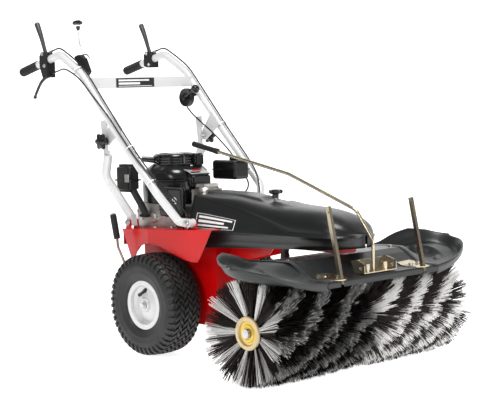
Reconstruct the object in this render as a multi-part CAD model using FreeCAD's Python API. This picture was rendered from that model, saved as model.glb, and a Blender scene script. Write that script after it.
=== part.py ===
import FreeCAD, Part
import math
import os
from FreeCAD import Vector

# Walk behind sweeper. Millimetres, +Z up, -Y is the way it travels, +X is its left side.
# The model is drawn with Y = 0 at the wheel axle and Z = 0 on the ground, and every piece is
# moved at the end so that the origin lies under the middle of the whole machine.

# ---- driving dimensions ----
tyre_radius = 190.5
tyre_width = 150.0
tyre_wall = 11.0
wheel_plane_x = 213.0
rim_radius = 78.0
axle_radius = 12.5
bearing_radius = 26.0

brush_radius = 190.0
brush_half_length = 500.0
brush_forward = 753.0
brush_core_radius = 50.0
end_recess_radius = 80.0
brush_shaft_radius = 15.0
gearbox_half_width = 30.0
swivel_neck_radius = 30.0

chassis_half_width = 205.0
chassis_front_y = -313.0
chassis_rear_y = 230.0
chassis_fold_y = 40.0
chassis_tail_half_width = 175.0
chassis_sheet = 3.0
deck_rear_z = 457.0
deck_slope = 0.047
lower_box_half_width = 110.0
lower_box_front_y = -235.0
lower_box_rear_y = 175.0
lower_box_bottom_z = 112.0

boom_low_z = 414.0
boom_high_z = 430.0

engine_y = 105.0
crank_radius = 12.5
shroud_low_z = 552.0
shroud_high_z = 700.0
recoil_radius = 110.0

hood_rear_y = -125.0
hood_rear_half_width = 152.0
hood_nose_radius = 115.0
hood_wall = 3.0

handle_half_width = 267.0
handle_tube_radius = 15.5
handle_tube_bore = 13.0
grip_radius = 18.0
grip_length = 112.0

cover_half_width = 278.0
cover_sheet = 3.0
cover_lip_forward = 948.0
wing_reach_x = 574.0

# ---- clearances ----
running_gap = 0.05
free_gap = 0.5
slot_gap = 2.5

# ---- places worked out from them ----
axle_z = tyre_radius
brush_y = -brush_forward
brush_z = brush_radius
handle_grip_end = Vector(0, 715, 1068)
rest_half = (cover_lip_forward - handle_grip_end.y) / 2
up = Vector(0, 0, 1)
sides = {"right": -1, "left": 1}


def deck_top(y):
    """Height of the deck, which rises a little towards the front."""
    return deck_rear_z + (chassis_rear_y - 32 - y) * deck_slope


# ---- ways of making solids ----
def block(x_low, x_high, y_low, y_high, z_low, z_high):
    return Part.makeBox(x_high - x_low, y_high - y_low, z_high - z_low, Vector(x_low, y_low, z_low))


def soft_block(radius, *limits):
    """A block with all its edges rounded."""
    solid = block(*limits)
    return solid.makeFillet(radius, solid.Edges)


def bar(start, end, radius):
    return Part.makeCylinder(radius, (end - start).Length, start, end - start)


def pipe(start, end, radius, bore):
    return bar(start, end, radius).cut(bar(start, end, bore))


def side_plate(outline, x_low, x_high):
    """An outline of (y, z) points, extruded along X."""
    points = [Vector(x_low, y, z) for y, z in outline]
    face = Part.Face(Part.makePolygon(points + points[:1]))
    return face.extrude(Vector(x_high - x_low, 0, 0))


def plan_plate(outline, z_low, z_high):
    """An outline of (x, y) points, extruded upwards."""
    points = [Vector(x, y, z_low) for x, y in outline]
    face = Part.Face(Part.makePolygon(points + points[:1]))
    return face.extrude(Vector(0, 0, z_high - z_low))


def bent_path(points, bends):
    """Straight runs joined by tangent arcs; bends holds one radius for each inner point."""
    edges = []
    last = points[0]
    for before, corner, after, radius in zip(points, points[1:], points[2:], bends):
        back = (before - corner).normalize()
        ahead = (after - corner).normalize()
        half = back.getAngle(ahead) / 2
        inward = (back + ahead).normalize()
        start = corner + back * (radius / math.tan(half))
        end = corner + ahead * (radius / math.tan(half))
        middle = corner + inward * (radius / math.sin(half) - radius)
        edges.append(Part.LineSegment(last, start).toShape())
        edges.append(Part.Arc(start, middle, end).toShape())
        last = end
    edges.append(Part.LineSegment(last, points[-1]).toShape())
    return Part.Wire(edges)


def bent_bar(points, bends, radius):
    path = bent_path(points, bends)
    circle = Part.Wire(Part.makeCircle(radius, points[0], points[1] - points[0]))
    return path.makePipeShell([circle], True, False)


def rule(start_y, points):
    """Read a height or width off a list of (y, value) points in falling y."""
    for (y_a, value_a), (y_b, value_b) in zip(points, points[1:]):
        if start_y >= y_b:
            return value_a + (value_b - value_a) * (start_y - y_a) / (y_b - y_a)
    return points[-1][1]


def skin(outer_rows, inner_rows):
    """A closed thin sheet between two grids of points with the same rows."""
    surfaces = []
    for rows in (outer_rows, inner_rows):
        surface = Part.BSplineSurface()
        surface.interpolate(rows)
        surfaces.append(surface)
    faces = [surface.toShape() for surface in surfaces]
    u_low, u_high, v_low, v_high = surfaces[0].bounds()
    u_low_in, u_high_in, v_low_in, v_high_in = surfaces[1].bounds()
    pairs = [(surfaces[0].uIso(u_low), surfaces[1].uIso(u_low_in)),
             (surfaces[0].uIso(u_high), surfaces[1].uIso(u_high_in)),
             (surfaces[0].vIso(v_low), surfaces[1].vIso(v_low_in)),
             (surfaces[0].vIso(v_high), surfaces[1].vIso(v_high_in))]
    for outer_edge, inner_edge in pairs:
        faces.append(Part.makeRuledSurface(outer_edge.toShape(), inner_edge.toShape()))
    shell = Part.Shell(faces)
    shell.sewShape()
    solid = Part.Solid(shell)
    if solid.Volume < 0:
        solid.reverse()
    return solid


def revolved(profile, x_middle):
    """A closed (x, radius) outline turned about the wheel axle line."""
    points = [Vector(x_middle + x, 0, axle_z + radius) for x, radius in profile]
    face = Part.Face(Part.makePolygon(points + points[:1]))
    return face.revolve(Vector(0, 0, axle_z), Vector(1, 0, 0), 360)


def mirrored(solid):
    return solid.mirror(Vector(0, 0, 0), Vector(1, 0, 0))


pieces = {}


# ---- chassis: one welded sheet-metal box that carries everything ----
def make_chassis():
    arch = [(150, 334), (128, 372), (90, 402), (36, 414), (-30, 404), (-90, 385), (-150, 368),
            (-205, 358), (-232, 360), (-246, 376)]
    body_front_x = chassis_half_width - chassis_sheet
    front = [(chassis_fold_y, deck_top(chassis_fold_y)), (chassis_front_y, deck_top(chassis_front_y))]
    front += [(y, z) for y, z in reversed(arch) if y < chassis_fold_y]
    front.append((chassis_fold_y, 413.5))
    panel = side_plate(front, body_front_x, chassis_half_width)
    turn = math.degrees(math.atan2(chassis_half_width - chassis_tail_half_width,
                                   chassis_rear_y - chassis_fold_y))
    tail = [(chassis_fold_y, 413.5)] + [(y, z) for y, z in reversed(arch) if y > chassis_fold_y]
    tail += [(160, 334), (chassis_rear_y, deck_top(chassis_rear_y)),
             (chassis_fold_y, deck_top(chassis_fold_y))]
    tail_panel = side_plate(tail, body_front_x, chassis_half_width)
    tail_panel.rotate(Vector(chassis_half_width, chassis_fold_y, 0), up, turn)
    deck_outline = [(-chassis_half_width, chassis_front_y), (chassis_half_width, chassis_front_y),
                    (chassis_half_width, chassis_fold_y), (chassis_tail_half_width, chassis_rear_y),
                    (-chassis_tail_half_width, chassis_rear_y), (-chassis_half_width, chassis_fold_y)]
    deck = plan_plate(deck_outline, deck_rear_z - 40, deck_rear_z + 60)
    slab = side_plate([(chassis_rear_y, deck_top(chassis_rear_y)),
                       (chassis_front_y, deck_top(chassis_front_y)),
                       (chassis_front_y, deck_top(chassis_front_y) - chassis_sheet),
                       (chassis_rear_y, deck_top(chassis_rear_y) - chassis_sheet)],
                      -chassis_half_width, chassis_half_width)
    deck = deck.common(slab)
    crank_hole = Part.makeCylinder(45, 200, Vector(0, engine_y, 400))
    deck = deck.cut(crank_hole)
    belt_window = block(-hood_rear_half_width - 4, hood_rear_half_width + 4, chassis_front_y - 1,
                        hood_rear_y + 4, 380, 520)
    deck = deck.cut(belt_window)
    back = block(-chassis_tail_half_width + 4, chassis_tail_half_width - 4, chassis_rear_y - 6,
                 chassis_rear_y - 6 + chassis_sheet, 395, deck_top(chassis_rear_y) - 1)
    inner = lower_box_half_width - chassis_sheet
    box_side = side_plate([(lower_box_rear_y, lower_box_bottom_z + 60),
                           (lower_box_rear_y - 60, lower_box_bottom_z),
                           (lower_box_front_y, lower_box_bottom_z),
                           (lower_box_front_y, deck_top(lower_box_front_y) - 1),
                           (lower_box_rear_y, deck_top(lower_box_rear_y) - 1)],
                          inner, lower_box_half_width)
    bearing_hole = Part.makeCylinder(bearing_radius, 300, Vector(-150, 0, axle_z), Vector(1, 0, 0))
    box_side = box_side.cut(bearing_hole)
    lever_hole = bar(Vector(50, lever_pivot.y, lever_pivot.z),
                     Vector(150, lever_pivot.y, lever_pivot.z), lever_rod_radius + running_gap)
    right_side = mirrored(box_side).cut(mirrored(lever_hole))
    front_plate = block(-inner, inner, lower_box_front_y, lower_box_front_y + chassis_sheet,
                        lower_box_bottom_z, 406)
    cheeks = [block(low, low + 20, lower_box_front_y, lower_box_front_y + chassis_sheet, 405,
                    deck_top(lower_box_front_y) - 1) for low in (-inner, inner - 20)]
    shape = deck.fuse([panel, mirrored(panel), tail_panel, mirrored(tail_panel), back, box_side,
                       right_side, front_plate] + cheeks)
    for x, y in ((-168, -160), (168, -160), (-174, -131)):
        shape = shape.cut(Part.makeCylinder(cable_hole_radius, 60, Vector(x, y, deck_top(y) - 30)))
    for x, pivot in lug_places:
        lug = side_plate([(pivot.y - 16, deck_top(pivot.y) - 1), (pivot.y + 16, deck_top(pivot.y) - 2),
                          (pivot.y + 11, pivot.z + 11), (pivot.y - 11, pivot.z + 11)], x, x + lug_width)
        hole = bar(Vector(x - 9, pivot.y, pivot.z), Vector(x + 9, pivot.y, pivot.z), pin_radius)
        shape = shape.fuse(lug.cut(hole))
    return shape.removeSplitter()


handle_pivot = Vector(0, -190, 500)
handle_foot_x = 195.0
brace_pivot = Vector(0, 188, 482)
brace_foot_x = 156.0
pin_radius = 6.0
lug_width = 4.0
lug_gap = 34.0
lug_places = [(side * brace_foot_x + low, brace_pivot) for side in (-1, 1)
              for low in (-lug_gap / 2 - lug_width, lug_gap / 2)]
lug_places += [(-handle_foot_x + lug_gap / 2, handle_pivot),
               (handle_foot_x - lug_gap / 2 - lug_width, handle_pivot)]
lever_pivot = Vector(0, 156, 322)
cable_hole_radius = 5.5
lever_rod_radius = 5.0
pieces["chassis_frame"] = make_chassis()


# ---- front boom and axle bearings ----
def make_boom():
    beam = block(-45, 45, brush_y, lower_box_front_y - 6, boom_low_z, boom_high_z)
    ring = Part.makeCylinder(50, boom_high_z - boom_low_z, Vector(0, brush_y, boom_low_z))
    flange = block(-70, 70, lower_box_front_y - 6, lower_box_front_y, 330, boom_high_z)
    gusset = side_plate([(lower_box_front_y - 5, 340), (lower_box_front_y - 5, boom_low_z + 1),
                         (-470, boom_low_z + 1), (-440, 385)], 41, 45)
    shape = beam.fuse([ring, flange, gusset, mirrored(gusset)])
    bore = Part.makeCylinder(swivel_neck_radius + running_gap, 60, Vector(0, brush_y, boom_low_z - 20))
    return shape.cut(bore)


pieces["front_boom"] = make_boom()
bearing_sets = []
for side in sides.values():
    inner_x = side * (lower_box_half_width - chassis_sheet)
    bearing_sets.append(pipe(Vector(inner_x - side * 8, 0, axle_z),
                             Vector(side * (lower_box_half_width + 6), 0, axle_z),
                             bearing_radius, axle_radius + running_gap))
pieces["axle_bearings"] = Part.makeCompound(bearing_sets)


# ---- transaxle, axle and wheels ----
transaxle_input_y = -75.0
drive_groove_z = 416.0
brush_groove_z = 438.0
groove_height = 12.0
axle_half_length = wheel_plane_x + 56

housing = soft_block(14, -64, 64, -125, 45, 130, 372)
housing = housing.fuse(Part.makeCylinder(24, 30, Vector(0, transaxle_input_y, 368)))
housing = housing.cut(bar(Vector(-80, 0, axle_z), Vector(80, 0, axle_z), axle_radius + running_gap))
housing = housing.cut(Part.makeCylinder(9 + running_gap, 200, Vector(0, transaxle_input_y, 300)))
hanger = block(-103, 103, -30, 30, 300, 320).cut(block(-63, 63, -40, 40, 290, 330))
pieces["transaxle"] = housing.fuse(hanger)
pieces["axle_shaft"] = bar(Vector(-axle_half_length, 0, axle_z), Vector(axle_half_length, 0, axle_z),
                           axle_radius)


def make_pulley(x, y, z_low, groove_low, height, outer, groove_depth):
    """A round pulley with one square-bottomed belt groove."""
    wheel = Part.makeCylinder(outer, height, Vector(x, y, z_low))
    groove = Part.makeCylinder(outer + 5, groove_height + 2, Vector(x, y, groove_low - 1))
    core = Part.makeCylinder(outer - groove_depth, groove_height + 4, Vector(x, y, groove_low - 2))
    return wheel.cut(groove.cut(core))


belt_depth = 8.0
groove_depth = 9.0
transaxle_pulley_radius = 62.0
brush_pulley_radius = 74.0
crank_brush_radius = 42.0
crank_drive_radius = 34.0

transaxle_pulley = make_pulley(0, transaxle_input_y, drive_groove_z - 3, drive_groove_z,
                               groove_height + 6, transaxle_pulley_radius, groove_depth)
transaxle_pulley = transaxle_pulley.fuse(
    Part.makeCylinder(9, drive_groove_z - 303, Vector(0, transaxle_input_y, 301)))
pieces["transaxle_pulley"] = transaxle_pulley

half_tread = tyre_width / 2
bead_x = 55.0
flange_height = 13.0
tyre_outline = [(-bead_x, rim_radius), (-bead_x, rim_radius + flange_height + 2),
                (-66, rim_radius + 20), (-half_tread, 140), (-half_tread + 4, 165),
                (-half_tread + 14, 182), (-half_tread + 28, tyre_radius)]
tyre_hollow = [(-bead_x + tyre_wall, rim_radius), (-66 + tyre_wall, rim_radius + 20),
               (-half_tread + tyre_wall, 140), (-half_tread + 4 + tyre_wall, 162),
               (-half_tread + 32, tyre_radius - tyre_wall)]
tyre_ring = tyre_outline + [(-x, r) for x, r in reversed(tyre_outline)]
tyre_ring += [(-x, r) for x, r in tyre_hollow] + list(reversed(tyre_hollow))
hub_radius = 24.0
flange_x = bead_x + 0.2
rim_outline = [(-58, rim_radius + flange_height), (-flange_x, rim_radius + flange_height),
               (-flange_x, rim_radius - 0.2), (flange_x, rim_radius - 0.2),
               (flange_x, rim_radius + flange_height), (58, rim_radius + flange_height),
               (58, rim_radius - 4), (44, rim_radius - 6), (38, 60), (46, hub_radius + 4),
               (54, hub_radius), (54, axle_radius + running_gap), (-58, axle_radius + running_gap),
               (-58, hub_radius), (30, hub_radius), (34, rim_radius - 8), (-50, rim_radius - 6),
               (-58, rim_radius - 4)]
for name, side in sides.items():
    middle = side * wheel_plane_x
    pieces["tyre_" + name] = revolved([(side * x, r) for x, r in tyre_ring], middle)
    pieces["rim_" + name] = revolved([(side * x, r) for x, r in rim_outline], middle)


# ---- rear selector lever ----
lever_x = -222.0
pieces["selector_lever"] = bent_bar(
    [Vector(-100, lever_pivot.y, lever_pivot.z), Vector(lever_x, lever_pivot.y, lever_pivot.z),
     Vector(lever_x, 200, 392), Vector(lever_x, 204, 434)], [12, 30], lever_rod_radius).fuse(
    bar(Vector(lever_x, 203, 424), Vector(lever_x, 224, 515), 12))


# ---- engine with an upright crankshaft ----
def oval(half_x, half_y, z, power):
    """A closed smooth rounded-square outline about the crankshaft."""
    points = []
    for step in range(24):
        angle = 2 * math.pi * step / 24
        c, s = math.cos(angle), math.sin(angle)
        x = math.copysign(abs(c) ** (2 / power), c) * half_x
        y = math.copysign(abs(s) ** (2 / power), s) * half_y
        points.append(Vector(x, engine_y + y, z))
    curve = Part.BSplineCurve()
    curve.interpolate(points, PeriodicFlag=True)
    return Part.Wire(curve.toShape())


crankcase = side_plate([(engine_y - 115, deck_top(engine_y - 115)),
                        (engine_y + 120, deck_top(engine_y + 120)),
                        (engine_y + 112, shroud_low_z - 1), (engine_y - 105, shroud_low_z - 1)], -104, 104)
cylinder = block(-114, -60, -80, 20, 522, shroud_low_z - 1)
crankcase = crankcase.fuse(cylinder)
crankcase = crankcase.cut(Part.makeCylinder(crank_radius + running_gap, 200, Vector(0, engine_y, 440)))
pieces["crankcase"] = crankcase

shroud_wall = 3.0
levels = [(118, 128, shroud_low_z, 3.0), (125, 130, 630, 3.0), (112, 112, shroud_high_z, 2.2)]
outside = Part.makeLoft([oval(x, y, z, power) for x, y, z, power in levels], True, False)
inside = Part.makeLoft([oval(x - shroud_wall, y - shroud_wall, z, power) for x, y, z, power in levels],
                       True, False)
top_plate = Part.makeCylinder(111, 2, Vector(0, engine_y, shroud_high_z - 2))
top_plate = top_plate.cut(Part.makeCylinder(100, 10, Vector(0, engine_y, shroud_high_z - 5)))
pieces["engine_shroud"] = outside.cut(inside).fuse(top_plate)

recoil = Part.makeCylinder(recoil_radius, 40, Vector(0, engine_y, shroud_high_z))
recoil = recoil.makeChamfer(6, [recoil.Edges[0]])
recoil = recoil.cut(Part.makeCylinder(recoil_radius - 5, 35, Vector(0, engine_y, shroud_high_z - 1)))
for step in range(10):
    slot = block(38, 92, engine_y - 4, engine_y + 4, shroud_high_z + 30, shroud_high_z + 50)
    slot.rotate(Vector(0, engine_y, 0), up, 36 * step)
    recoil = recoil.cut(slot)
pieces["recoil_cover"] = recoil

crank_pulley = make_pulley(0, engine_y, drive_groove_z - 3, drive_groove_z, groove_height + 6,
                           crank_drive_radius, groove_depth)
upper_pulley = make_pulley(0, engine_y, brush_groove_z - 3, brush_groove_z, groove_height + 5,
                           crank_brush_radius, groove_depth)
crank_pulley = crank_pulley.fuse([upper_pulley, Part.makeCylinder(
    24, brush_groove_z - drive_groove_z - groove_height - 5,
    Vector(0, engine_y, drive_groove_z + groove_height + 2))])
pieces["crankshaft"] = crank_pulley.fuse(
    Part.makeCylinder(crank_radius, 280, Vector(0, engine_y, drive_groove_z - 6)))

flywheel = Part.makeCylinder(90, 10, Vector(0, engine_y, 636))
flywheel = flywheel.fuse(Part.makeCylinder(26, 36, Vector(0, engine_y, 624)))
blades = []
for step in range(12):
    blade = block(50, 88, engine_y - 1.5, engine_y + 1.5, 645, 672)
    blade.rotate(Vector(0, engine_y, 0), up, 30 * step)
    blades.append(blade)
flywheel = flywheel.fuse(blades)
pieces["flywheel"] = flywheel.cut(Part.makeCylinder(crank_radius, 300, Vector(0, engine_y, 500)))

pieces["cylinder_cover"] = soft_block(8, -140, -115, -82, 22, 508, shroud_low_z - 2).fuse(
    soft_block(10, -152, -126.5, -95, 36, 512, 622))
pieces["silencer_guard"] = soft_block(9, -56, 54, engine_y - 221, engine_y - 132, 520, 628)
carburettor = block(-136, -104, 130, 178, 500, shroud_low_z - 3)
carburettor = carburettor.fuse(block(-150, -124, 150, 188, shroud_low_z - 10, 597))
pieces["air_intake"] = carburettor.fuse(soft_block(9, -180, -124, 166, 258, 596, 704))
tank_limits = (127, 205, -92, 40, 634, 708)
pieces["fuel_tank"] = soft_block(12, *tank_limits)
cap_place = Vector(168, -50, 708)
pieces["fuel_cap"] = Part.makeCylinder(20, 14, cap_place)

rope_exit = Vector(-104, 185, 722)
rope_grip = Vector(-142, 222, 742)
rope_way = (rope_grip - rope_exit).normalize()
recoil_nozzle = bar(rope_exit - rope_way * 22, rope_exit + rope_way * 18, 9)
recoil_nozzle = recoil_nozzle.cut(bar(rope_exit - rope_way * 30, rope_exit + rope_way * 30, 3.5))
pieces["recoil_cover"] = pieces["recoil_cover"].fuse(recoil_nozzle.cut(
    Part.makeCylinder(recoil_radius - 3, 60, Vector(0, engine_y, shroud_high_z - 5))))
starter_bar = bar(rope_exit - rope_way * 8, rope_exit + rope_way * 34, 2.5)
grip_across = rope_way.cross(up).cross(rope_way).normalize()
grip_middle = rope_exit + rope_way * 32
starter_grip = bar(grip_middle - grip_across * 17, grip_middle + grip_across * 17, 8)
pieces["starter_grip"] = starter_bar.fuse(starter_grip)


# ---- belts and the idler that tightens the brush belt ----
def loop_face(y_a, radius_a, y_b, radius_b, z):
    """The outline that hugs two circles on the centre line, y_a behind y_b."""
    lean = math.asin((radius_b - radius_a) / (y_a - y_b))
    c, s = math.cos(lean), math.sin(lean)
    a_left = Vector(radius_a * c, y_a + radius_a * s, z)
    a_right = Vector(-a_left.x, a_left.y, z)
    b_left = Vector(radius_b * c, y_b + radius_b * s, z)
    b_right = Vector(-b_left.x, b_left.y, z)
    edges = [Part.LineSegment(a_left, b_left).toShape(),
             Part.Arc(b_left, Vector(0, y_b - radius_b, z), b_right).toShape(),
             Part.LineSegment(b_right, a_right).toShape(),
             Part.Arc(a_right, Vector(0, y_a + radius_a, z), a_left).toShape()]
    return Part.Face(Part.Wire(edges))


def make_belt(radius_a, y_b, radius_b, groove_z):
    inner_a = radius_a - groove_depth + free_gap
    inner_b = radius_b - groove_depth + free_gap
    low = groove_z + free_gap
    height = groove_height - 2 * free_gap
    outer = loop_face(engine_y, inner_a + belt_depth, y_b, inner_b + belt_depth, low)
    inner = loop_face(engine_y, inner_a, y_b, inner_b, low)
    return outer.cut(inner).extrude(Vector(0, 0, height))


pieces["belts"] = Part.makeCompound([
    make_belt(crank_brush_radius, brush_y, brush_pulley_radius, brush_groove_z),
    make_belt(crank_drive_radius, transaxle_input_y, transaxle_pulley_radius, drive_groove_z)])

idler_pivot = Vector(80, -30, 0)
idler_place = Vector(80, -160, 0)
idler_radius = 22.0
idler_pin_radius = 5.0
arm_low = brush_groove_z + groove_height + 3
arm = plan_plate([(idler_pivot.x - 9, idler_pivot.y + 9), (idler_pivot.x + 9, idler_pivot.y + 9),
                  (idler_place.x + 9, idler_place.y - 9), (idler_place.x - 9, idler_place.y - 9)],
                 arm_low, arm_low + 4)
arm = arm.fuse(Part.makeCylinder(idler_pin_radius, 22, Vector(idler_place.x, idler_place.y, arm_low - 18)))
pivot_hole = Part.makeCylinder(idler_pin_radius + running_gap, 60, Vector(idler_pivot.x, idler_pivot.y, 430))
pieces["idler_arm"] = arm.cut(pivot_hole)
idler = Part.makeCylinder(idler_radius, groove_height, Vector(idler_place.x, idler_place.y, brush_groove_z))
pieces["idler_pulley"] = idler.cut(Part.makeCylinder(
    idler_pin_radius + running_gap, 80, Vector(idler_place.x, idler_place.y, 400)))
idler_post = Part.makeCylinder(idler_pin_radius, deck_top(idler_pivot.y) - chassis_sheet - arm_low + 5,
                               Vector(idler_pivot.x, idler_pivot.y, arm_low - 6))
idler_post = idler_post.fuse(Part.makeCylinder(9, 3, Vector(idler_pivot.x, idler_pivot.y, arm_low - 3.5)))


# ---- belt hood: a moulded shell with a round nose over the swivel axis ----
hood_top_line = [(-100, 604), (-300, 602), (-375, 592), (-455, 582), (-560, 568), (-655, 563),
                 (-708, 558), (-772, 544), (-828, 519), (-856, 494), (-868, 465)]
hood_step_z = 470.0


def hood_half_width(y):
    straight = hood_rear_half_width + (hood_nose_radius - hood_rear_half_width) * \
        (y - hood_rear_y) / (brush_y - hood_rear_y)
    if y > brush_y:
        return straight
    return math.sqrt(max(hood_nose_radius ** 2 - (y - brush_y) ** 2, 0))


def hood_rows(wall):
    """Cross-sections of the hood from its rear edge to its nose, each from side to side."""
    nose_y = brush_y - hood_nose_radius
    ys = [hood_rear_y + (brush_y - hood_rear_y) * k / 7 for k in range(8)]
    ys += [brush_y - hood_nose_radius * math.sin(math.radians(a)) for a in (18, 34, 50, 64, 75, 84)]
    rows = []
    for index, y in enumerate(ys):
        half = hood_half_width(y) - wall
        low = 404 + 30 * (hood_rear_y - y) / (hood_rear_y - nose_y)
        top = rule(y, hood_top_line) - wall
        side = [(half, low), (half, (low + hood_step_z) / 2), (half, hood_step_z - 6)]
        for angle in (22, 45, 66):
            c, s = math.cos(math.radians(angle)), math.sin(math.radians(angle))
            side.append((half * c ** 0.75, hood_step_z + (top - hood_step_z) * s ** 0.9))
        across = side + [(0, top)] + [(-x, z) for x, z in reversed(side)]
        place = y + wall if index >= 8 else y
        rows.append([Vector(x, place, z) for x, z in across])
    return rows


hood = skin(hood_rows(0), hood_rows(hood_wall))
knob_place = Vector(0, -435, 0)
knob_base_z = 587.0
stud_hole = Part.makeCylinder(6, 100, Vector(0, knob_place.y, 540))
pieces["hood"] = hood.cut(stud_hole)
stud = Part.makeCylinder(5, knob_base_z + 12 - boom_high_z, Vector(0, knob_place.y, boom_high_z))
hood_stud = stud.fuse(Part.makeCylinder(12, 6, Vector(0, knob_place.y, boom_high_z)))


def star_knob(place, axis, radius, height, bore, lobes):
    """A round hand knob with lobes, its hub pointing back along the axis."""
    knob = Part.makeCylinder(radius * 0.78, height * 0.5, Vector(0, 0, height * 0.5))
    parts = [Part.makeCylinder(radius * 0.3, height * 0.5, Vector(
        radius * 0.7 * math.cos(2 * math.pi * k / lobes),
        radius * 0.7 * math.sin(2 * math.pi * k / lobes), height * 0.5)) for k in range(lobes)]
    knob = knob.fuse(parts + [Part.makeCylinder(radius * 0.45, height * 0.6)])
    knob = knob.cut(Part.makeCylinder(bore, height * 0.75, Vector(0, 0, -1)))
    knob.Placement = FreeCAD.Placement(place, FreeCAD.Rotation(up, axis))
    return knob


pieces["hood_knob"] = star_knob(Vector(0, knob_place.y, knob_base_z), up, 27, 32, 5 + running_gap, 5)


# ---- handlebar: two bent tubes, a cross bar and what is clamped on them ----
def handle_points(side):
    wide = side * handle_half_width
    return [Vector(wide, 715, 1068), Vector(wide, 462, 1132), Vector(wide, 330, 1055),
            Vector(wide, 110, 812), Vector(side * 264, -92, 606), Vector(side * 205, -140, 502),
            Vector(side * handle_foot_x, handle_pivot.y - 8, handle_pivot.z)]


handle_bends = [55, 150, 500, 60, 20]
grips = []
stud_place = Vector(0, 212, 796)
stud_radius = 5.0
clamp_inner_x = 246.0
slot_reach = 35.0

for name, side in sides.items():
    points = handle_points(side)
    tube = bent_bar(points, handle_bends, handle_tube_radius)
    bore = bent_bar(points, handle_bends, handle_tube_bore)
    tube = tube.cut(bore)
    foot_x = side * handle_foot_x
    eye = bar(Vector(foot_x - 15, handle_pivot.y, handle_pivot.z),
              Vector(foot_x + 15, handle_pivot.y, handle_pivot.z), handle_tube_radius)
    tube = tube.fuse(eye)
    pin_hole = bar(Vector(foot_x - 45, handle_pivot.y, handle_pivot.z),
                   Vector(foot_x + 45, handle_pivot.y, handle_pivot.z), pin_radius + running_gap)
    tube = tube.cut(pin_hole)
    low_x = min(side * clamp_inner_x, side * (clamp_inner_x + 5))
    ear = side_plate([(118, 842), (165, 893), (228, 806), (222, 782), (202, 780)], low_x, low_x + 5)
    ear = ear.cut(bar(Vector(side * 200, stud_place.y, stud_place.z),
                      Vector(side * 300, stud_place.y, stud_place.z), stud_radius + running_gap))
    ear = ear.cut(bore)
    pieces["handle_tube_" + name] = tube.fuse(ear)

    grip_way = (points[1] - points[0]).normalize()
    grip = pipe(points[0], points[0] + grip_way * grip_length, grip_radius,
                handle_tube_radius)
    cap = bar(points[0] - grip_way * 4, points[0], grip_radius)
    grips.append(grip.fuse(cap))
pieces["hand_grips"] = Part.makeCompound(grips)

cross_y = 300.0
cross_z = 1016.0
cross_reach = handle_half_width - 8
cross_bar = block(-cross_reach, cross_reach, cross_y - 12, cross_y + 12, cross_z - 21, cross_z + 21)
cross_bar = cross_bar.cut(block(-handle_half_width - 1, handle_half_width + 1, cross_y - 10, cross_y + 10,
                                cross_z - 19, cross_z + 19))
for side in sides.values():
    cross_bar = cross_bar.cut(bent_bar(handle_points(side), handle_bends, handle_tube_radius))
pieces["cross_bar"] = max(cross_bar.Solids, key=lambda solid: solid.Volume)


# ---- braces, clamp knobs ----
def make_brace(side):
    top = Vector(side * 237, 221, 744)
    foot_x = side * brace_foot_x
    lower = bent_bar([top, Vector(side * 234, 246, 660), Vector(foot_x, brace_pivot.y + 7, 505)], [60], 17)
    foot = side_plate([(brace_pivot.y - 13, brace_pivot.z - 13), (brace_pivot.y + 14, brace_pivot.z - 13),
                       (brace_pivot.y + 22, brace_pivot.z + 30), (brace_pivot.y - 8, brace_pivot.z + 30)],
                      foot_x - 14, foot_x + 14)
    foot = foot.cut(bar(Vector(foot_x - 30, brace_pivot.y, brace_pivot.z),
                        Vector(foot_x + 30, brace_pivot.y, brace_pivot.z), pin_radius + running_gap))
    low_x = min(side * (clamp_inner_x - 6), side * (clamp_inner_x - 0.5))
    strap = side_plate([(203, 730), (236, 725), (252, 872), (218, 877)], low_x, low_x + 5.5)
    way = (stud_place - brace_pivot).normalize()
    slot_low = stud_place - way * slot_reach
    slot_high = stud_place + way * slot_reach
    half = stud_radius + slot_gap
    normal = Vector(0, way.z, -way.y) * half
    corners = [slot_low + normal, slot_high + normal, slot_high - normal, slot_low - normal]
    slot = side_plate([(c.y, c.z) for c in corners], side * 240 - 15, side * 240 + 15)
    return lower.fuse([foot, strap]).cut(slot)


pieces["braces"] = Part.makeCompound([make_brace(side) for side in sides.values()])
for name, side in sides.items():
    knob = star_knob(Vector(side * (clamp_inner_x + 6), stud_place.y, stud_place.z), Vector(side, 0, 0),
                     32, 36, 1, 6)
    shank = bar(Vector(side * (clamp_inner_x - 12), stud_place.y, stud_place.z),
                Vector(side * (clamp_inner_x + 12), stud_place.y, stud_place.z), stud_radius)
    pieces["clamp_knob_" + name] = knob.fuse(shank)


# ---- hand levers ----
lever_gap = 12.0
lever_pin = Vector(0, 556, 1136)
brake_pin = Vector(0, 536, 1052)
pin_size = 4.0


def make_lever_clamp(side, with_brake):
    x = side * handle_half_width
    low = 1044 if with_brake else 1078
    outline = [(526, low), (556, low), (574, 1086), (574, 1128), (562, 1144), (544, 1144), (526, 1128)]
    body = side_plate(outline, x - 20, x + 20)
    points = handle_points(side)
    body = body.cut(bar(points[0], points[1], handle_tube_radius))
    way = (points[1] - points[0]).normalize()
    slots = [side_plate([(538, 1125), (600, 1125), (600, 1160), (538, 1160)],
                        x - lever_gap / 2, x + lever_gap / 2)]
    if with_brake:
        slots.append(side_plate([(515, 1030), (600, 1030), (600, 1064), (515, 1064)],
                                x - lever_gap / 2, x + lever_gap / 2))
    for slot in slots:
        body = body.cut(slot)
    pins = [bar(Vector(x - 20, lever_pin.y, lever_pin.z), Vector(x + 20, lever_pin.y, lever_pin.z), pin_size)]
    if with_brake:
        pins.append(bar(Vector(x - 20, brake_pin.y, brake_pin.z), Vector(x + 20, brake_pin.y, brake_pin.z),
                        pin_size))
    return body.fuse(pins)


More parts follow.
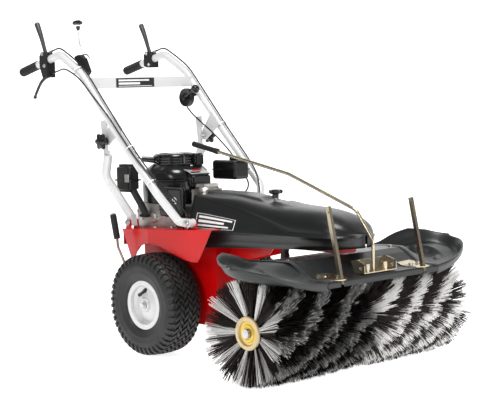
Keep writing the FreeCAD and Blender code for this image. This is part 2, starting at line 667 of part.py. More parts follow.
def make_hand_lever(side):
    x = side * handle_half_width
    half = lever_gap / 2 - free_gap
    eye = bar(Vector(x - half, lever_pin.y, lever_pin.z), Vector(x + half, lever_pin.y, lever_pin.z), 9)
    start = Vector(x, lever_pin.y + 2, lever_pin.z + 5)
    blade = bar(start, Vector(x, 611, 1262), 5.4).fuse(
        Part.makeCone(5.4, 9.5, 60, Vector(x, 585, 1203), Vector(0, 26, 59)))
    hole = bar(Vector(x - 20, lever_pin.y, lever_pin.z), Vector(x + 20, lever_pin.y, lever_pin.z),
               pin_size + running_gap)
    return eye.fuse(blade).cut(hole)


pieces["lever_clamps"] = Part.makeCompound([make_lever_clamp(-1, True), make_lever_clamp(1, False)])
pieces["drive_hand_lever"] = make_hand_lever(-1)
pieces["brush_hand_lever"] = make_hand_lever(1)

brake_x = -handle_half_width
brake_half = lever_gap / 2 - free_gap
brake_eye = bar(Vector(brake_x - brake_half, brake_pin.y, brake_pin.z),
                Vector(brake_x + brake_half, brake_pin.y, brake_pin.z), 8.5)
brake_blade = bent_bar([Vector(brake_x, brake_pin.y + 1, brake_pin.z - 1), Vector(brake_x, 596, 1030),
                        Vector(brake_x, 640, 966)], [60], 5.3)
brake_lever = brake_eye.fuse([brake_blade, Part.makeSphere(7.5, Vector(brake_x, 639, 968))])
pieces["brake_lever"] = brake_lever.cut(bar(Vector(brake_x - 20, brake_pin.y, brake_pin.z),
                                            Vector(brake_x + 20, brake_pin.y, brake_pin.z),
                                            pin_size + running_gap))

# gear lever with its quadrant on the right tube, throttle disc on the left tube
gear_pin = Vector(-236, 352, 1098)
quadrant_x = (-250.5, -232.0)
quadrant = side_plate([(396, 1120), (370, 1128), (338, 1112), (312, 1062), (324, 1048), (346, 1052)],
                      *quadrant_x)
quadrant = quadrant.cut(bent_bar(handle_points(-1), handle_bends, handle_tube_radius))
quadrant_pin = bar(Vector(quadrant_x[1] - 4, gear_pin.y, gear_pin.z), Vector(-218, gear_pin.y, gear_pin.z), 4)
pieces["gear_quadrant"] = quadrant.fuse(quadrant_pin)
gear_x = -226.0
gear_eye = bar(Vector(gear_x - 5, gear_pin.y, gear_pin.z), Vector(gear_x + 5, gear_pin.y, gear_pin.z), 9)
gear_stem = bent_bar([Vector(gear_x, gear_pin.y + 4, gear_pin.z + 5), Vector(gear_x, 384, 1150),
                      Vector(gear_x, 396, 1240)], [60], 3.5)
gear_head = soft_block(5, gear_x - 14, gear_x + 14, 376, 424, 1236, 1260)
pieces["gear_lever"] = gear_eye.fuse([gear_stem, gear_head]).cut(
    bar(Vector(-240, gear_pin.y, gear_pin.z), Vector(-200, gear_pin.y, gear_pin.z), 4 + running_gap))

throttle_pin = Vector(226, 296, 951)
disc = bar(Vector(230, throttle_pin.y, throttle_pin.z), Vector(244, throttle_pin.y, throttle_pin.z), 37)
arm_plate = side_plate([(262, 958), (256, 976), (268, 990), (284, 986), (300, 950)], 244, 262)
disc = disc.fuse(arm_plate).cut(bent_bar(handle_points(1), handle_bends, handle_tube_radius))
disc = disc.fuse(bar(Vector(212, throttle_pin.y, throttle_pin.z),
                     Vector(232, throttle_pin.y, throttle_pin.z), 4))
pieces["throttle_disc"] = disc
throttle_x = 221.0
throttle_arm = bar(Vector(throttle_x - 5, throttle_pin.y, throttle_pin.z),
                   Vector(throttle_x + 5, throttle_pin.y, throttle_pin.z), 10)
ball = Vector(throttle_x, 228, 984)
throttle_arm = throttle_arm.fuse([bar(Vector(throttle_x, throttle_pin.y - 5, throttle_pin.z + 2), ball, 4),
                                  Part.makeSphere(16, ball)])
pieces["throttle_lever"] = throttle_arm.cut(bar(Vector(200, throttle_pin.y, throttle_pin.z),
                                                Vector(240, throttle_pin.y, throttle_pin.z), 4 + running_gap))

# ---- Bowden cables, tied along the tubes ----
cable_radius = 3.0
cable_routes = {
    "drive": [(-267, 524, 1143), (-267, 466, 1160), (-267, 384, 1118), (-267, 312, 1073), (-267, 227, 979),
              (-266, 93, 831), (-265, 3, 739), (-258, -80, 656), (-216, -136, 582), (-168, -158, 516),
              (-168, -160, 460)],
    "brake": [(-267, 524, 1060), (-274, 478, 1066), (-288, 410, 1078), (-289, 320, 1040), (-287, 240, 966),
              (-281, 157, 891), (-280, 97, 826), (-278, 8, 734), (-266, -80, 656), (-230, -132, 582),
              (-182, -128, 520), (-173, -132, 460)],
    "brush": [(267, 524, 1143), (267, 466, 1160), (267, 384, 1118), (267, 312, 1073), (267, 227, 979),
              (266, 93, 831), (265, 3, 739), (258, -80, 656), (216, -136, 582), (168, -158, 516),
              (168, -160, 460)],
    "throttle": [(237, 297, 912), (236, 262, 882), (234, 196, 842), (232, 120, 796), (234, 40, 732),
                 (232, -26, 664), (214, -86, 602), (150, -80, 560), (84, -60, 536), (80, -10, 532)],
}


def cable(points):
    """A tube along straight runs with the largest arc that each pair of runs allows."""
    corners = [Vector(*point) for point in points]
    radii = []
    for before, corner, after in zip(corners, corners[1:], corners[2:]):
        turn = math.pi - (before - corner).getAngle(after - corner)
        shorter = min((before - corner).Length, (after - corner).Length)
        radii.append(0.45 * shorter / math.tan(turn / 2))
    return bent_bar(corners, radii, cable_radius)


pieces["control_cables"] = Part.makeCompound([cable(route) for route in cable_routes.values()])


# ---- brush head: gearbox, cover, wings, swivel rod ----
def make_gearbox():
    case = bar(Vector(-gearbox_half_width, brush_y, brush_z),
               Vector(gearbox_half_width, brush_y, brush_z), 52)
    neck = Part.makeCylinder(swivel_neck_radius, boom_high_z + 1.5 - brush_z, Vector(0, brush_y, brush_z))
    seat = block(-60, 60, brush_y - 26, brush_y + 26, 395, cover_flat_z - cover_sheet)
    case = case.fuse([neck, seat])
    case = case.cut(bar(Vector(-80, brush_y, brush_z), Vector(80, brush_y, brush_z),
                        brush_shaft_radius + running_gap))
    return case.cut(Part.makeCylinder(input_shaft_radius + running_gap, 300, Vector(0, brush_y, 212)))


input_shaft_radius = 12.0
cover_flat_z = 407.0
cover_line = [(-600, 378), (-612, 396), (-660, 404), (-715, cover_flat_z), (-785, cover_flat_z),
              (-815, 392), (-850, 368), (-882, 356), (-942, 353), (-cover_lip_forward, 347),
              (-cover_lip_forward, 331)]


def offset_line(line, thickness):
    """The same polyline moved down by the sheet's thickness, measured square to it."""
    moved = []
    for index, (y, z) in enumerate(line):
        before = line[max(index - 1, 0)]
        after = line[min(index + 1, len(line) - 1)]
        along_y, along_z = after[0] - before[0], after[1] - before[1]
        length = math.hypot(along_y, along_z)
        moved.append((y - along_z / length * thickness, z + along_y / length * thickness))
    return moved


pieces["brush_gearbox"] = make_gearbox()
cover = side_plate(cover_line + list(reversed(offset_line(cover_line, cover_sheet))),
                   -cover_half_width, cover_half_width)
neck_hole = Part.makeCylinder(swivel_neck_radius + 2, 100, Vector(0, brush_y, 360))
pieces["cover_centre"] = cover.cut(neck_hole)

rim_front = [(278, 353), (340, 358), (400, 368), (462, 384), (530, 406), (574, 422)]
rim_rear = [(278, 404), (335, 412), (410, 436), (472, 450), (530, 442), (574, 424)]


def read_off(x, table):
    for (x_a, value_a), (x_b, value_b) in zip(table, table[1:]):
        if x <= x_b:
            return value_a + (value_b - value_a) * (x - x_a) / (x_b - x_a)
    return table[-1][1]


def wing_rows(side, drop):
    """Cross-sections of one dished wing, from the centre plate out to its round end."""
    rows = []
    reach = wing_reach_x - cover_half_width
    for part in (0.0, 0.17, 0.34, 0.52, 0.68, 0.81, 0.91, 0.975):
        x = cover_half_width + reach * part
        shrink = (1 - part ** 2.6) ** (1 / 2.2)
        middle = -797 + 17 * part
        front = middle - 151 * shrink
        rear = middle + 160 * shrink
        edge_front = read_off(x, rim_front)
        edge_rear = read_off(x, rim_rear)
        row = []
        for way in (0, 0.06, 0.2, 0.36, 0.52, 0.68, 0.84, 0.95, 1):
            y = front + (rear - front) * way
            floor = rule(y, cover_line) if y > -940 else 353
            floor = max(floor, 353) + 16 * part
            dish = 4 * way * (1 - way)
            edge = edge_front * (1 - way) + edge_rear * way
            level = edge + (floor - edge) * min(1, dish ** 0.5 * 1.25) if 0 < way < 1 else edge
            row.append(Vector(side * x, y, level - drop))
        rows.append(row)
    return rows


for name, side in sides.items():
    pieces["cover_wing_" + name] = skin(wing_rows(side, 0), wing_rows(side, cover_sheet))

bolt_places = [(side * x, y, z) for side in (-1, 1)
               for x, y, z in ((262, -748, cover_flat_z), (238, -893, 361.5), (186, -905, 360.0))]
pieces["cover_bolts"] = Part.makeCompound(
    [Part.makeCylinder(8, 5, Vector(x, y, z)) for x, y, z in bolt_places])

tray_low = 357.5
tray_sheet = 3.0
swivel_points = [Vector(0, -4, 776), Vector(0, -505, 676), Vector(0, -823, 562), Vector(0, -898, 462),
                 Vector(0, -896, tray_low + tray_sheet + free_gap)]
rod_radius = 6.0
pieces["swivel_rod"] = bent_bar(swivel_points, [90, 60, 45], rod_radius)
rod_way = (swivel_points[1] - swivel_points[0]).normalize()
pieces["swivel_grip"] = pipe(swivel_points[0] - rod_way * 3, swivel_points[0] + rod_way * 135, 11, rod_radius)

tray_half = 82.0
tray_front_y = -930.0
tray_bend_y = -886.0
tray_back_y = -868.0
tray_high = 398.0
hook_bore_radius = 6.5
hook_place = Vector(0, -914, 375)
tray_profile = [(tray_front_y, tray_low), (tray_bend_y, tray_low), (tray_back_y, tray_high),
                (tray_back_y - tray_sheet, tray_high),
                (tray_bend_y - tray_sheet * 0.7, tray_low + tray_sheet),
                (tray_front_y, tray_low + tray_sheet)]
tray = side_plate(tray_profile, -tray_half, tray_half)
ear = [(tray_front_y, tray_low), (tray_bend_y, tray_low), (tray_back_y, tray_high),
       (tray_back_y - 18, tray_high + 4), (tray_front_y + 8, tray_high - 6), (tray_front_y, tray_high - 14)]
for low in (-tray_half, tray_half - tray_sheet):
    tray = tray.fuse(side_plate(ear, low, low + tray_sheet))
tray = tray.cut(bar(Vector(-tray_half - 9, hook_place.y, hook_place.z),
                    Vector(tray_half + 9, hook_place.y, hook_place.z), hook_bore_radius))
socket_place = Vector(45, -908, tray_low)
socket_radius = 10.0
socket_bore_radius = 6.5
socket_length = 28.5
for side in (-1, 1):
    foot = Vector(side * socket_place.x, socket_place.y, socket_place.z)
    tray = tray.fuse(Part.makeCylinder(socket_radius, socket_length, foot))
    tray = tray.cut(Part.makeCylinder(socket_bore_radius, socket_length, foot))
tray = tray.removeSplitter()
pieces["accessory_bracket"] = tray

lock_lean = 12
lock_foot = Vector(210, -941, 352)
lock_bar_side = 13.0
lock_bar_low = -14.0
lock_bar_high = 245.0
cross_piece_low = 222.0
cross_piece_high = 228.0
lock_plates = []
plate_line = [(-845, 371.5)] + cover_line[6:9] + [(-970, 352)]
raised_sheet = side_plate(offset_line(plate_line, -0.3) + list(reversed(offset_line(plate_line, -3.3))),
                          -300, 300)
for name, side in sides.items():
    foot = Vector(side * lock_foot.x, lock_foot.y, lock_foot.z)
    half = lock_bar_side / 2
    lock_bar = block(-half, half, -half, half, lock_bar_low, lock_bar_high)
    lock_bar = lock_bar.fuse(block(-half - 3, half + 3, -3, 3, cross_piece_low, cross_piece_high))
    turn = FreeCAD.Rotation(Vector(1, 0, 0), -lock_lean)
    lock_bar.Placement = FreeCAD.Placement(foot, turn)
    pieces["lock_bar_" + name] = lock_bar
    opening = block(-half - free_gap, half + free_gap, -half - free_gap, half + free_gap, -120, 320)
    opening.Placement = FreeCAD.Placement(foot, turn)
    outline = [(side * 178, -940), (side * 204, -956), (side * 232, -950), (side * 266, -885),
               (side * 236, -856), (side * 166, -862), (side * 160, -905)]
    plate = plan_plate(outline, 340, 420).common(raised_sheet)
    lock_plates.append(plate.cut(opening))
    for piece in ("cover_centre", "cover_wing_" + name):
        pieces[piece] = pieces[piece].cut(opening)
pieces["lock_plates"] = Part.makeCompound(lock_plates)

# ---- brush and its drive ----
cores = [bar(Vector(-470, brush_y, brush_z), Vector(470, brush_y, brush_z), brush_shaft_radius)]
discs = []
core_start = gearbox_half_width + 6
for name, side in sides.items():
    cores.append(pipe(Vector(side * core_start, brush_y, brush_z), Vector(side * 454, brush_y, brush_z),
                      brush_core_radius, brush_shaft_radius))
    discs.append(pipe(Vector(side * 454, brush_y, brush_z), Vector(side * 462, brush_y, brush_z), 55,
                      brush_shaft_radius))
    drum = pipe(Vector(side * core_start, brush_y, brush_z), Vector(side * 454, brush_y, brush_z),
                brush_radius, brush_core_radius)
    flare = pipe(Vector(side * 454, brush_y, brush_z), Vector(side * brush_half_length, brush_y, brush_z),
                 brush_radius, end_recess_radius)
    pieces["bristles_" + name] = drum.fuse(flare)
pieces["brush_shaft"] = cores[0].fuse(cores[1:])
pieces["end_discs"] = Part.makeCompound(discs)

input_pulley = make_pulley(0, brush_y, brush_groove_z - 3, brush_groove_z, groove_height + 6,
                           brush_pulley_radius, groove_depth)
pieces["input_pulley"] = input_pulley.fuse(
    Part.makeCylinder(input_shaft_radius, brush_groove_z + groove_height - 210, Vector(0, brush_y, 215)))

# ---- pins of the handlebar and braces, the idler's post and the hood's stud ----
pins = [idler_post, hood_stud]
for side in (-1, 1):
    for pivot, across in ((handle_pivot, handle_foot_x), (brace_pivot, brace_foot_x)):
        pins.append(bar(Vector(side * across - 24, pivot.y, pivot.z),
                        Vector(side * across + 24, pivot.y, pivot.z), pin_radius))
pieces["pivot_pins"] = Part.makeCompound(pins)

# ---- export, with the origin under the middle of the machine ----
os.makedirs("parts", exist_ok=True)
for name, shape in pieces.items():
    shape.translate(Vector(0, rest_half, 0))
    shape.exportStep("parts/" + name + ".step")
print(len(pieces), "pieces")
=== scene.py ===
import bmesh
import bpy
import math
import numpy
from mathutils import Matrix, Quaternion, Vector


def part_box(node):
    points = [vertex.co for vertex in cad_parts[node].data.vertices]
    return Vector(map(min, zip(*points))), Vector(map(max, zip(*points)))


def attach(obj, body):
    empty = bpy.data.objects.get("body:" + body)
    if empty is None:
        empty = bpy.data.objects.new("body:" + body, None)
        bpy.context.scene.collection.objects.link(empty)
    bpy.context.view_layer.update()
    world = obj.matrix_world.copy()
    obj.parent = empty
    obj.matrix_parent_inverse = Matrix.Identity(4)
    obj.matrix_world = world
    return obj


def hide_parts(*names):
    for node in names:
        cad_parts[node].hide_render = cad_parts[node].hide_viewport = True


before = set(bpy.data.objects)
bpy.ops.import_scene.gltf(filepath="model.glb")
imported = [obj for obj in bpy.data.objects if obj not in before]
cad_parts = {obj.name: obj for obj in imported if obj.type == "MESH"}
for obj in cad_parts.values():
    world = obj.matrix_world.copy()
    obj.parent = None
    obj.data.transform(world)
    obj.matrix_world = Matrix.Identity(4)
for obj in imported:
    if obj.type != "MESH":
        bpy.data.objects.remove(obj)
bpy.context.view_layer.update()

# ---- studio: a white sweep behind the machine, soft lamps and the camera ----
# Distances along the ground are counted from the wheel axle, and -Y is the way the machine travels.
axle_low, axle_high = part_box("axle_shaft")
axle_y = (axle_low.y + axle_high.y) / 2


def spot(x, y, z):
    """A place in metres, with y counted from the wheel axle."""
    return Vector((x, axle_y + y, z))


view_way = Vector((0.6886, 0.7252, 0)).normalized()
view_side = Vector((view_way.y, -view_way.x, 0))
sweep_line = [(-9, 0)] + [(5 + 3 * math.sin(math.radians(a)), 3 - 3 * math.cos(math.radians(a)))
                          for a in range(0, 91, 6)] + [(8, 9)]
sweep_mesh = bpy.data.meshes.new("studio_sweep")
sweep_points = [view_way * along + view_side * side + Vector((0, 0, height))
                for along, height in sweep_line for side in (-14, 14)]
sweep_mesh.from_pydata(sweep_points, [], [(2 * k, 2 * k + 1, 2 * k + 3, 2 * k + 2)
                                          for k in range(len(sweep_line) - 1)])
sweep_mesh.shade_smooth()
sweep = bpy.data.objects.new("studio_sweep", sweep_mesh)
bpy.context.scene.collection.objects.link(sweep)
sweep_paper = bpy.data.materials.new("studio_paper")
sweep_paper.use_nodes = True
sweep_paper.node_tree.nodes["Principled BSDF"].inputs["Base Color"].default_value = (0.95, 0.95, 0.95, 1)
sweep_paper.node_tree.nodes["Principled BSDF"].inputs["Roughness"].default_value = 0.8
sweep_paper.node_tree.nodes["Principled BSDF"].inputs["Emission Color"].default_value = (1, 1, 1, 1)
sweep_paper.node_tree.nodes["Principled BSDF"].inputs["Emission Strength"].default_value = 0.85
sweep_mesh.materials.append(sweep_paper)

studio = bpy.data.worlds.new("studio")
studio.use_nodes = True
studio.node_tree.nodes["Background"].inputs["Color"].default_value = (1, 1, 1, 1)
studio.node_tree.nodes["Background"].inputs["Strength"].default_value = 0.26
bpy.context.scene.world = studio
bpy.context.scene.view_settings.view_transform = "Standard"


def lamp(name, place, size, power):
    """A square soft lamp aimed at the middle of the machine."""
    light = bpy.data.lights.new(name, "AREA")
    light.shape = "SQUARE"
    light.size = size
    light.energy = power
    thing = bpy.data.objects.new(name, light)
    thing.location = place
    thing.rotation_euler = (Vector((0, 0, 0.5)) - place).to_track_quat("-Z", "Y").to_euler()
    bpy.context.scene.collection.objects.link(thing)


lamp("overhead", Vector((-0.9, -0.9, 4.0)), 1.3, 125)
lamp("front_left", Vector((-4.4, -1.0, 2.2)), 1.2, 62)
lamp("front_right", Vector((0.4, -4.6, 1.3)), 1.2, 84)

camera_data = bpy.data.cameras.new("camera")
camera_data.sensor_width = 36.0
camera_data.lens = 36.0 * 1453.8 / 481
camera = bpy.data.objects.new("camera", camera_data)
turn_left, tip_down, roll = math.radians(-43.51), math.radians(4.74), math.radians(-1.47)
look = Vector((-math.sin(turn_left) * math.cos(tip_down), math.cos(turn_left) * math.cos(tip_down),
               -math.sin(tip_down)))
aim = look.to_track_quat("-Z", "Y")
camera.location = (-3.684, -4.0165, 0.994)
camera.rotation_mode = "QUATERNION"
camera.rotation_quaternion = aim @ Quaternion((0, 0, 1), roll)
bpy.context.scene.collection.objects.link(camera)
bpy.context.scene.camera = camera


# ---- chassis and front boom: folded sheet steel in glossy red ----
# The paint is thick and shiny, with a faint orange peel. Zinc-plated hexagon bolts hold the deck
# along both edges, and a rubber buffer hangs under the boom.
def surface(name, colour, roughness, metallic=0.0, other=None, patch=7.0, grain=420.0, relief=0.12,
            coat=0.0, stretch=(1, 1, 1), gleam=0.5):
    """A material that drifts between two tones and whose fine grain stands out in relief."""
    material = bpy.data.materials.new(name)
    material.use_nodes = True
    tree = material.node_tree
    shader = tree.nodes["Principled BSDF"]
    shader.inputs["Metallic"].default_value = metallic
    shader.inputs["Specular IOR Level"].default_value = gleam
    shader.inputs["Coat Weight"].default_value = coat
    shader.inputs["Coat Roughness"].default_value = 0.08
    place = tree.nodes.new("ShaderNodeTexCoord")
    scaled = tree.nodes.new("ShaderNodeMapping")
    scaled.inputs["Scale"].default_value = stretch
    tree.links.new(place.outputs["Object"], scaled.inputs["Vector"])
    drift = tree.nodes.new("ShaderNodeTexNoise")
    drift.inputs["Scale"].default_value = patch
    drift.inputs["Detail"].default_value = 5.0
    tree.links.new(scaled.outputs["Vector"], drift.inputs["Vector"])
    tones = tree.nodes.new("ShaderNodeValToRGB")
    second = other or tuple(part * 0.78 for part in colour)
    tones.color_ramp.elements[0].position = 0.32
    tones.color_ramp.elements[0].color = (*second, 1)
    tones.color_ramp.elements[1].position = 0.68
    tones.color_ramp.elements[1].color = (*colour, 1)
    tree.links.new(drift.outputs["Fac"], tones.inputs["Fac"])
    tree.links.new(tones.outputs["Color"], shader.inputs["Base Color"])
    shine = tree.nodes.new("ShaderNodeMapRange")
    shine.inputs["To Min"].default_value = roughness * 0.82
    shine.inputs["To Max"].default_value = min(1.0, roughness * 1.2)
    tree.links.new(drift.outputs["Fac"], shine.inputs["Value"])
    tree.links.new(shine.outputs["Result"], shader.inputs["Roughness"])
    fine = tree.nodes.new("ShaderNodeTexNoise")
    fine.inputs["Scale"].default_value = grain
    fine.inputs["Detail"].default_value = 3.0
    tree.links.new(scaled.outputs["Vector"], fine.inputs["Vector"])
    bumps = tree.nodes.new("ShaderNodeBump")
    bumps.inputs["Strength"].default_value = relief
    bumps.inputs["Distance"].default_value = 0.001
    tree.links.new(fine.outputs["Fac"], bumps.inputs["Height"])
    tree.links.new(bumps.outputs["Normal"], shader.inputs["Normal"])
    return material


def finish_node(material, *nodes):
    """Give CAD nodes a material."""
    for node in nodes:
        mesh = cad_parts[node].data
        mesh.materials.clear()
        mesh.materials.append(material)


def mesh_piece(name, points, faces, material, body, crease=40):
    """A mesh that rides on a body; faces that meet at more than the crease angle stay sharp."""
    mesh = bpy.data.meshes.new(name)
    mesh.from_pydata([tuple(point) for point in points], [], faces)
    mesh.materials.append(material)
    mesh.shade_smooth()
    mesh.set_sharp_from_angle(angle=math.radians(crease))
    mesh.validate()
    thing = bpy.data.objects.new(name, mesh)
    bpy.context.scene.collection.objects.link(thing)
    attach(thing, body)
    return thing


def lathe(name, profile, place, axis, material, body, steps=48, lobes=0, depth=0.0):
    """A profile of (along, radius) turned about an axis; with lobes its radius waves round it."""
    turn = Vector(axis).to_track_quat("Z", "Y")
    points = []
    for along, radius in profile:
        for step in range(steps):
            angle = 2 * math.pi * step / steps
            reach = radius * (1 + depth * math.cos(lobes * angle))
            points.append(place + turn @ Vector((reach * math.cos(angle), reach * math.sin(angle), along)))
    faces = []
    for row in range(len(profile) - 1):
        for step in range(steps):
            ahead = (step + 1) % steps
            faces.append((row * steps + step, row * steps + ahead, (row + 1) * steps + ahead,
                          (row + 1) * steps + step))
    return mesh_piece(name, points, faces, material, body)


def loft(rings, closed=True, capped=True):
    """Points and faces of a skin over rings that all have the same number of points."""
    count = len(rings[0])
    points = [point for ring in rings for point in ring]
    faces = []
    for row in range(len(rings) - 1):
        for step in range(count if closed else count - 1):
            ahead = (step + 1) % count
            faces.append((row * count + step, row * count + ahead, (row + 1) * count + ahead,
                          (row + 1) * count + step))
    if capped:
        faces.append(tuple(reversed(range(count))))
        faces.append(tuple(range((len(rings) - 1) * count, len(rings) * count)))
    return points, faces


def sweep_rings(path, sizes, steps=16, across=Vector((1, 0, 0))):
    """Ellipses along a path; sizes gives the half width along `across` and the other half width."""
    rings = []
    for index, point in enumerate(path):
        before = path[max(index - 1, 0)]
        after = path[min(index + 1, len(path) - 1)]
        way = (after - before).normalized()
        side = (across - way * across.dot(way)).normalized()
        other = way.cross(side)
        wide, thick = sizes[index]
        rings.append([point + side * wide * math.cos(2 * math.pi * k / steps)
                      + other * thick * math.sin(2 * math.pi * k / steps) for k in range(steps)])
    return rings


def smooth_path(corners, count):
    """Points along a curve that passes near the corners, ends included."""
    path = []
    last = len(corners) - 1
    for step in range(count):
        place = last * step / (count - 1)
        index = min(int(place), last - 1)
        t = place - index
        p0 = corners[max(index - 1, 0)]
        p1, p2 = corners[index], corners[index + 1]
        p3 = corners[min(index + 2, last)]
        path.append(0.5 * (2 * p1 + (p2 - p0) * t + (2 * p0 - 5 * p1 + 4 * p2 - p3) * t ** 2
                           + (3 * p1 - p0 - 3 * p2 + p3) * t ** 3))
    return path


def soft_box(name, low, high, radius, material, body):
    """A block with rounded edges."""
    shape = bmesh.new()
    bmesh.ops.create_cube(shape, size=1.0)
    middle, size = (low + high) / 2, high - low
    for vertex in shape.verts:
        vertex.co = Vector((vertex.co.x * size.x, vertex.co.y * size.y, vertex.co.z * size.z)) + middle
    bmesh.ops.bevel(shape, geom=shape.edges[:], offset=radius, segments=3, affect="EDGES")
    points = [vertex.co.copy() for vertex in shape.verts]
    shape.verts.index_update()
    faces = [tuple(vertex.index for vertex in face.verts) for face in shape.faces]
    shape.free()
    return mesh_piece(name, points, faces, material, body)


def hex_bolt(name, place, axis, radius, material, body):
    """A bolt head on its washer."""
    lathe(name + "_washer", [(0, 0.2 * radius), (0, 1.45 * radius), (0.2 * radius, 1.4 * radius),
                             (0.22 * radius, 0.2 * radius)], place, axis, material, body, 24)
    lathe(name, [(0.2 * radius, radius), (0.75 * radius, radius), (0.9 * radius, 0.85 * radius),
                 (0.9 * radius, 0.0)], place, axis, material, body, 6)


red_paint = surface("red_paint", (0.54, 0.001, 0.002), 0.30, other=(0.47, 0.001, 0.0015), patch=3.0,
                    grain=900, relief=0.02, coat=0.15, gleam=0.25)
zinc_plain = surface("zinc_plain", (0.62, 0.62, 0.60), 0.32, 1.0, patch=60, relief=0.06)
finish_node(red_paint, "chassis_frame", "front_boom")

panel_bolt_radius = 0.006
for side in (-1, 1):
    for index, y in enumerate((0.19, 0.10, 0.0, -0.09)):
        hex_bolt(f"deck_bolt_{'right' if side < 0 else 'left'}_{index}",
                 spot(side * 0.118, y, 0.4578 + (0.198 - y) * 0.047), (0, 0, 1), panel_bolt_radius,
                 zinc_plain, "chassis")

buffer_rubber = surface("buffer_rubber", (0.02, 0.02, 0.02), 0.6, relief=0.2)
lathe("boom_buffer", [(0, 0.002), (0, 0.012), (-0.006, 0.017), (-0.02, 0.014), (-0.034, 0.017),
                      (-0.05, 0.016), (-0.052, 0.002)], spot(0, -0.478, 0.4139), (0, 0, 1),
      buffer_rubber, "chassis")

# ---- tyres: turf tread on a rounded carcass ----
# Six rows of slanting blocks, staggered like bricks, with lugs that run down over the shoulders;
# the side wall has two fine moulded rings.
tyre_rubber = surface("tyre_rubber", (0.012, 0.0125, 0.013), 0.5, other=(0.020, 0.020, 0.019), patch=14,
                      grain=260, relief=0.25, gleam=0.35)
tyre_low, tyre_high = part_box("tyre_right")
tyre_radius = (tyre_high.z - tyre_low.z) / 2
block_count = 44
block_height = 0.0085
carcass = [(0.050, 0.078), (0.054, 0.080), (0.056, 0.088), (0.0585, 0.094), (0.060, 0.097), (0.0625, 0.098),
           (0.0655, 0.105), (0.0695, 0.118), (0.0705, 0.121), (0.0700, 0.124), (0.0722, 0.136),
           (0.0728, 0.150), (0.0718, 0.152), (0.0712, 0.160), (0.0670, 0.172), (0.0590, 0.179),
           (0.0400, 0.1818), (0.0200, 0.1826), (0.0, 0.183)]


def crown(x):
    """Height of the tread's top at a distance from the tyre's middle."""
    return tyre_radius - 0.0002 - 0.0042 * (abs(x) / 0.06) ** 2


def tread_block(x_low, x_high, start, slant, points, faces, hub):
    """One slanting block between two widths, as a bent slab that follows the crown."""
    length = 2 * math.pi / block_count * 0.66
    first = len(points)
    for part in (0.0, 0.5, 1.0):
        x = x_low + (x_high - x_low) * part
        shift = slant * (part - 0.5) * length * 0.9
        for reach, inset in ((crown(x) - block_height, 0.0), (crown(x), 0.09)):
            for end in (0.0, 1.0):
                angle = start + shift + length * (end + inset * (1 - 2 * end))
                points.append(hub + Vector((x, reach * math.cos(angle), reach * math.sin(angle))))
    for row in (0, 1):
        a = first + 4 * row
        faces += [(a + 2, a + 3, a + 7, a + 6), (a, a + 2, a + 6, a + 4), (a + 1, a + 5, a + 7, a + 3)]
    faces += [(first, first + 1, first + 3, first + 2), (first + 8, first + 10, first + 11, first + 9)]


def shoulder_lug(side, start, points, faces, hub):
    """A bar that starts at the tread's edge and runs down over the shoulder."""
    length = 2 * math.pi / block_count * 0.58
    line = [(0.0565, 0.1866, 0.1790), (0.0655, 0.1832, 0.1740), (0.0718, 0.1745, 0.1660),
            (0.0745, 0.1630, 0.1600)]
    first = len(points)
    for index, (x, high, low) in enumerate(line):
        lean = 0.10 * index * length
        for reach in (low, high):
            for end in (0.08, 0.92):
                angle = start + lean + length * end
                points.append(hub + Vector((side * x, reach * math.cos(angle), reach * math.sin(angle))))
    for row in range(len(line) - 1):
        a = first + 4 * row
        faces += [(a + 2, a + 3, a + 7, a + 6), (a, a + 2, a + 6, a + 4), (a + 1, a + 5, a + 7, a + 3)]
    last = first + 4 * (len(line) - 1)
    faces += [(first, first + 1, first + 3, first + 2), (last, last + 2, last + 3, last + 1)]


for name, side in (("right", -1), ("left", 1)):
    low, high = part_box("tyre_" + name)
    hub = (low + high) / 2
    profile = carcass + [(-x, radius) for x, radius in reversed(carcass[:-1])]
    tyre = lathe("tyre_carcass_" + name, profile, hub, (1, 0, 0), tyre_rubber, "wheel_" + name,
                 120)
    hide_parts("tyre_" + name)
    points, faces = [], []
    row_width = 0.0195
    for block in range(block_count):
        angle = 2 * math.pi * block / block_count
        for row in range(6):
            stagger = math.pi / block_count if row % 2 else 0.0
            x_low = (row - 3) * row_width + 0.0014
            tread_block(x_low, x_low + row_width - 0.0028, angle + stagger, 1 if row % 2 else -1,
                        points, faces, hub)
        for edge in (-1, 1):
            shoulder_lug(edge, angle + math.pi / block_count * (edge + 1) / 2, points, faces, hub)
    mesh_piece("tyre_tread_" + name, points, faces, tyre_rubber, "wheel_" + name, 25)

# ---- rims: white dished discs ----
# Sheet steel in the handlebar's white paint. Each has a black rubber valve and, at its hub, a castle
# nut with a washer.
white_paint = surface("white_paint", (0.60, 0.60, 0.60), 0.28, other=(0.55, 0.55, 0.55), patch=4.0,
                      grain=700, relief=0.02, coat=0.4)
valve_rubber = surface("valve_rubber", (0.015, 0.015, 0.015), 0.5, relief=0.15)
finish_node(white_paint, "rim_right", "rim_left")
for name, side in (("right", -1), ("left", 1)):
    low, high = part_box("rim_" + name)
    hub = (low + high) / 2
    out = Vector((side, 0, 0))
    hex_bolt("hub_nut_" + name, hub + out * 0.0563, out, 0.011, zinc_plain, "wheel_" + name)
    valve_foot = hub + Vector((side * 0.040, side * -0.006, 0.053))
    valve_way = Vector((side * 1.0, side * -0.15, -0.55)).normalized()
    lathe("tyre_valve_" + name, [(-0.004, 0.0), (-0.004, 0.0085), (0.004, 0.008), (0.008, 0.0055),
                                 (0.024, 0.005), (0.024, 0.0065), (0.034, 0.0062), (0.036, 0.004),
                                 (0.036, 0.0)], valve_foot, valve_way, valve_rubber, "wheel_" + name,
                                 20)

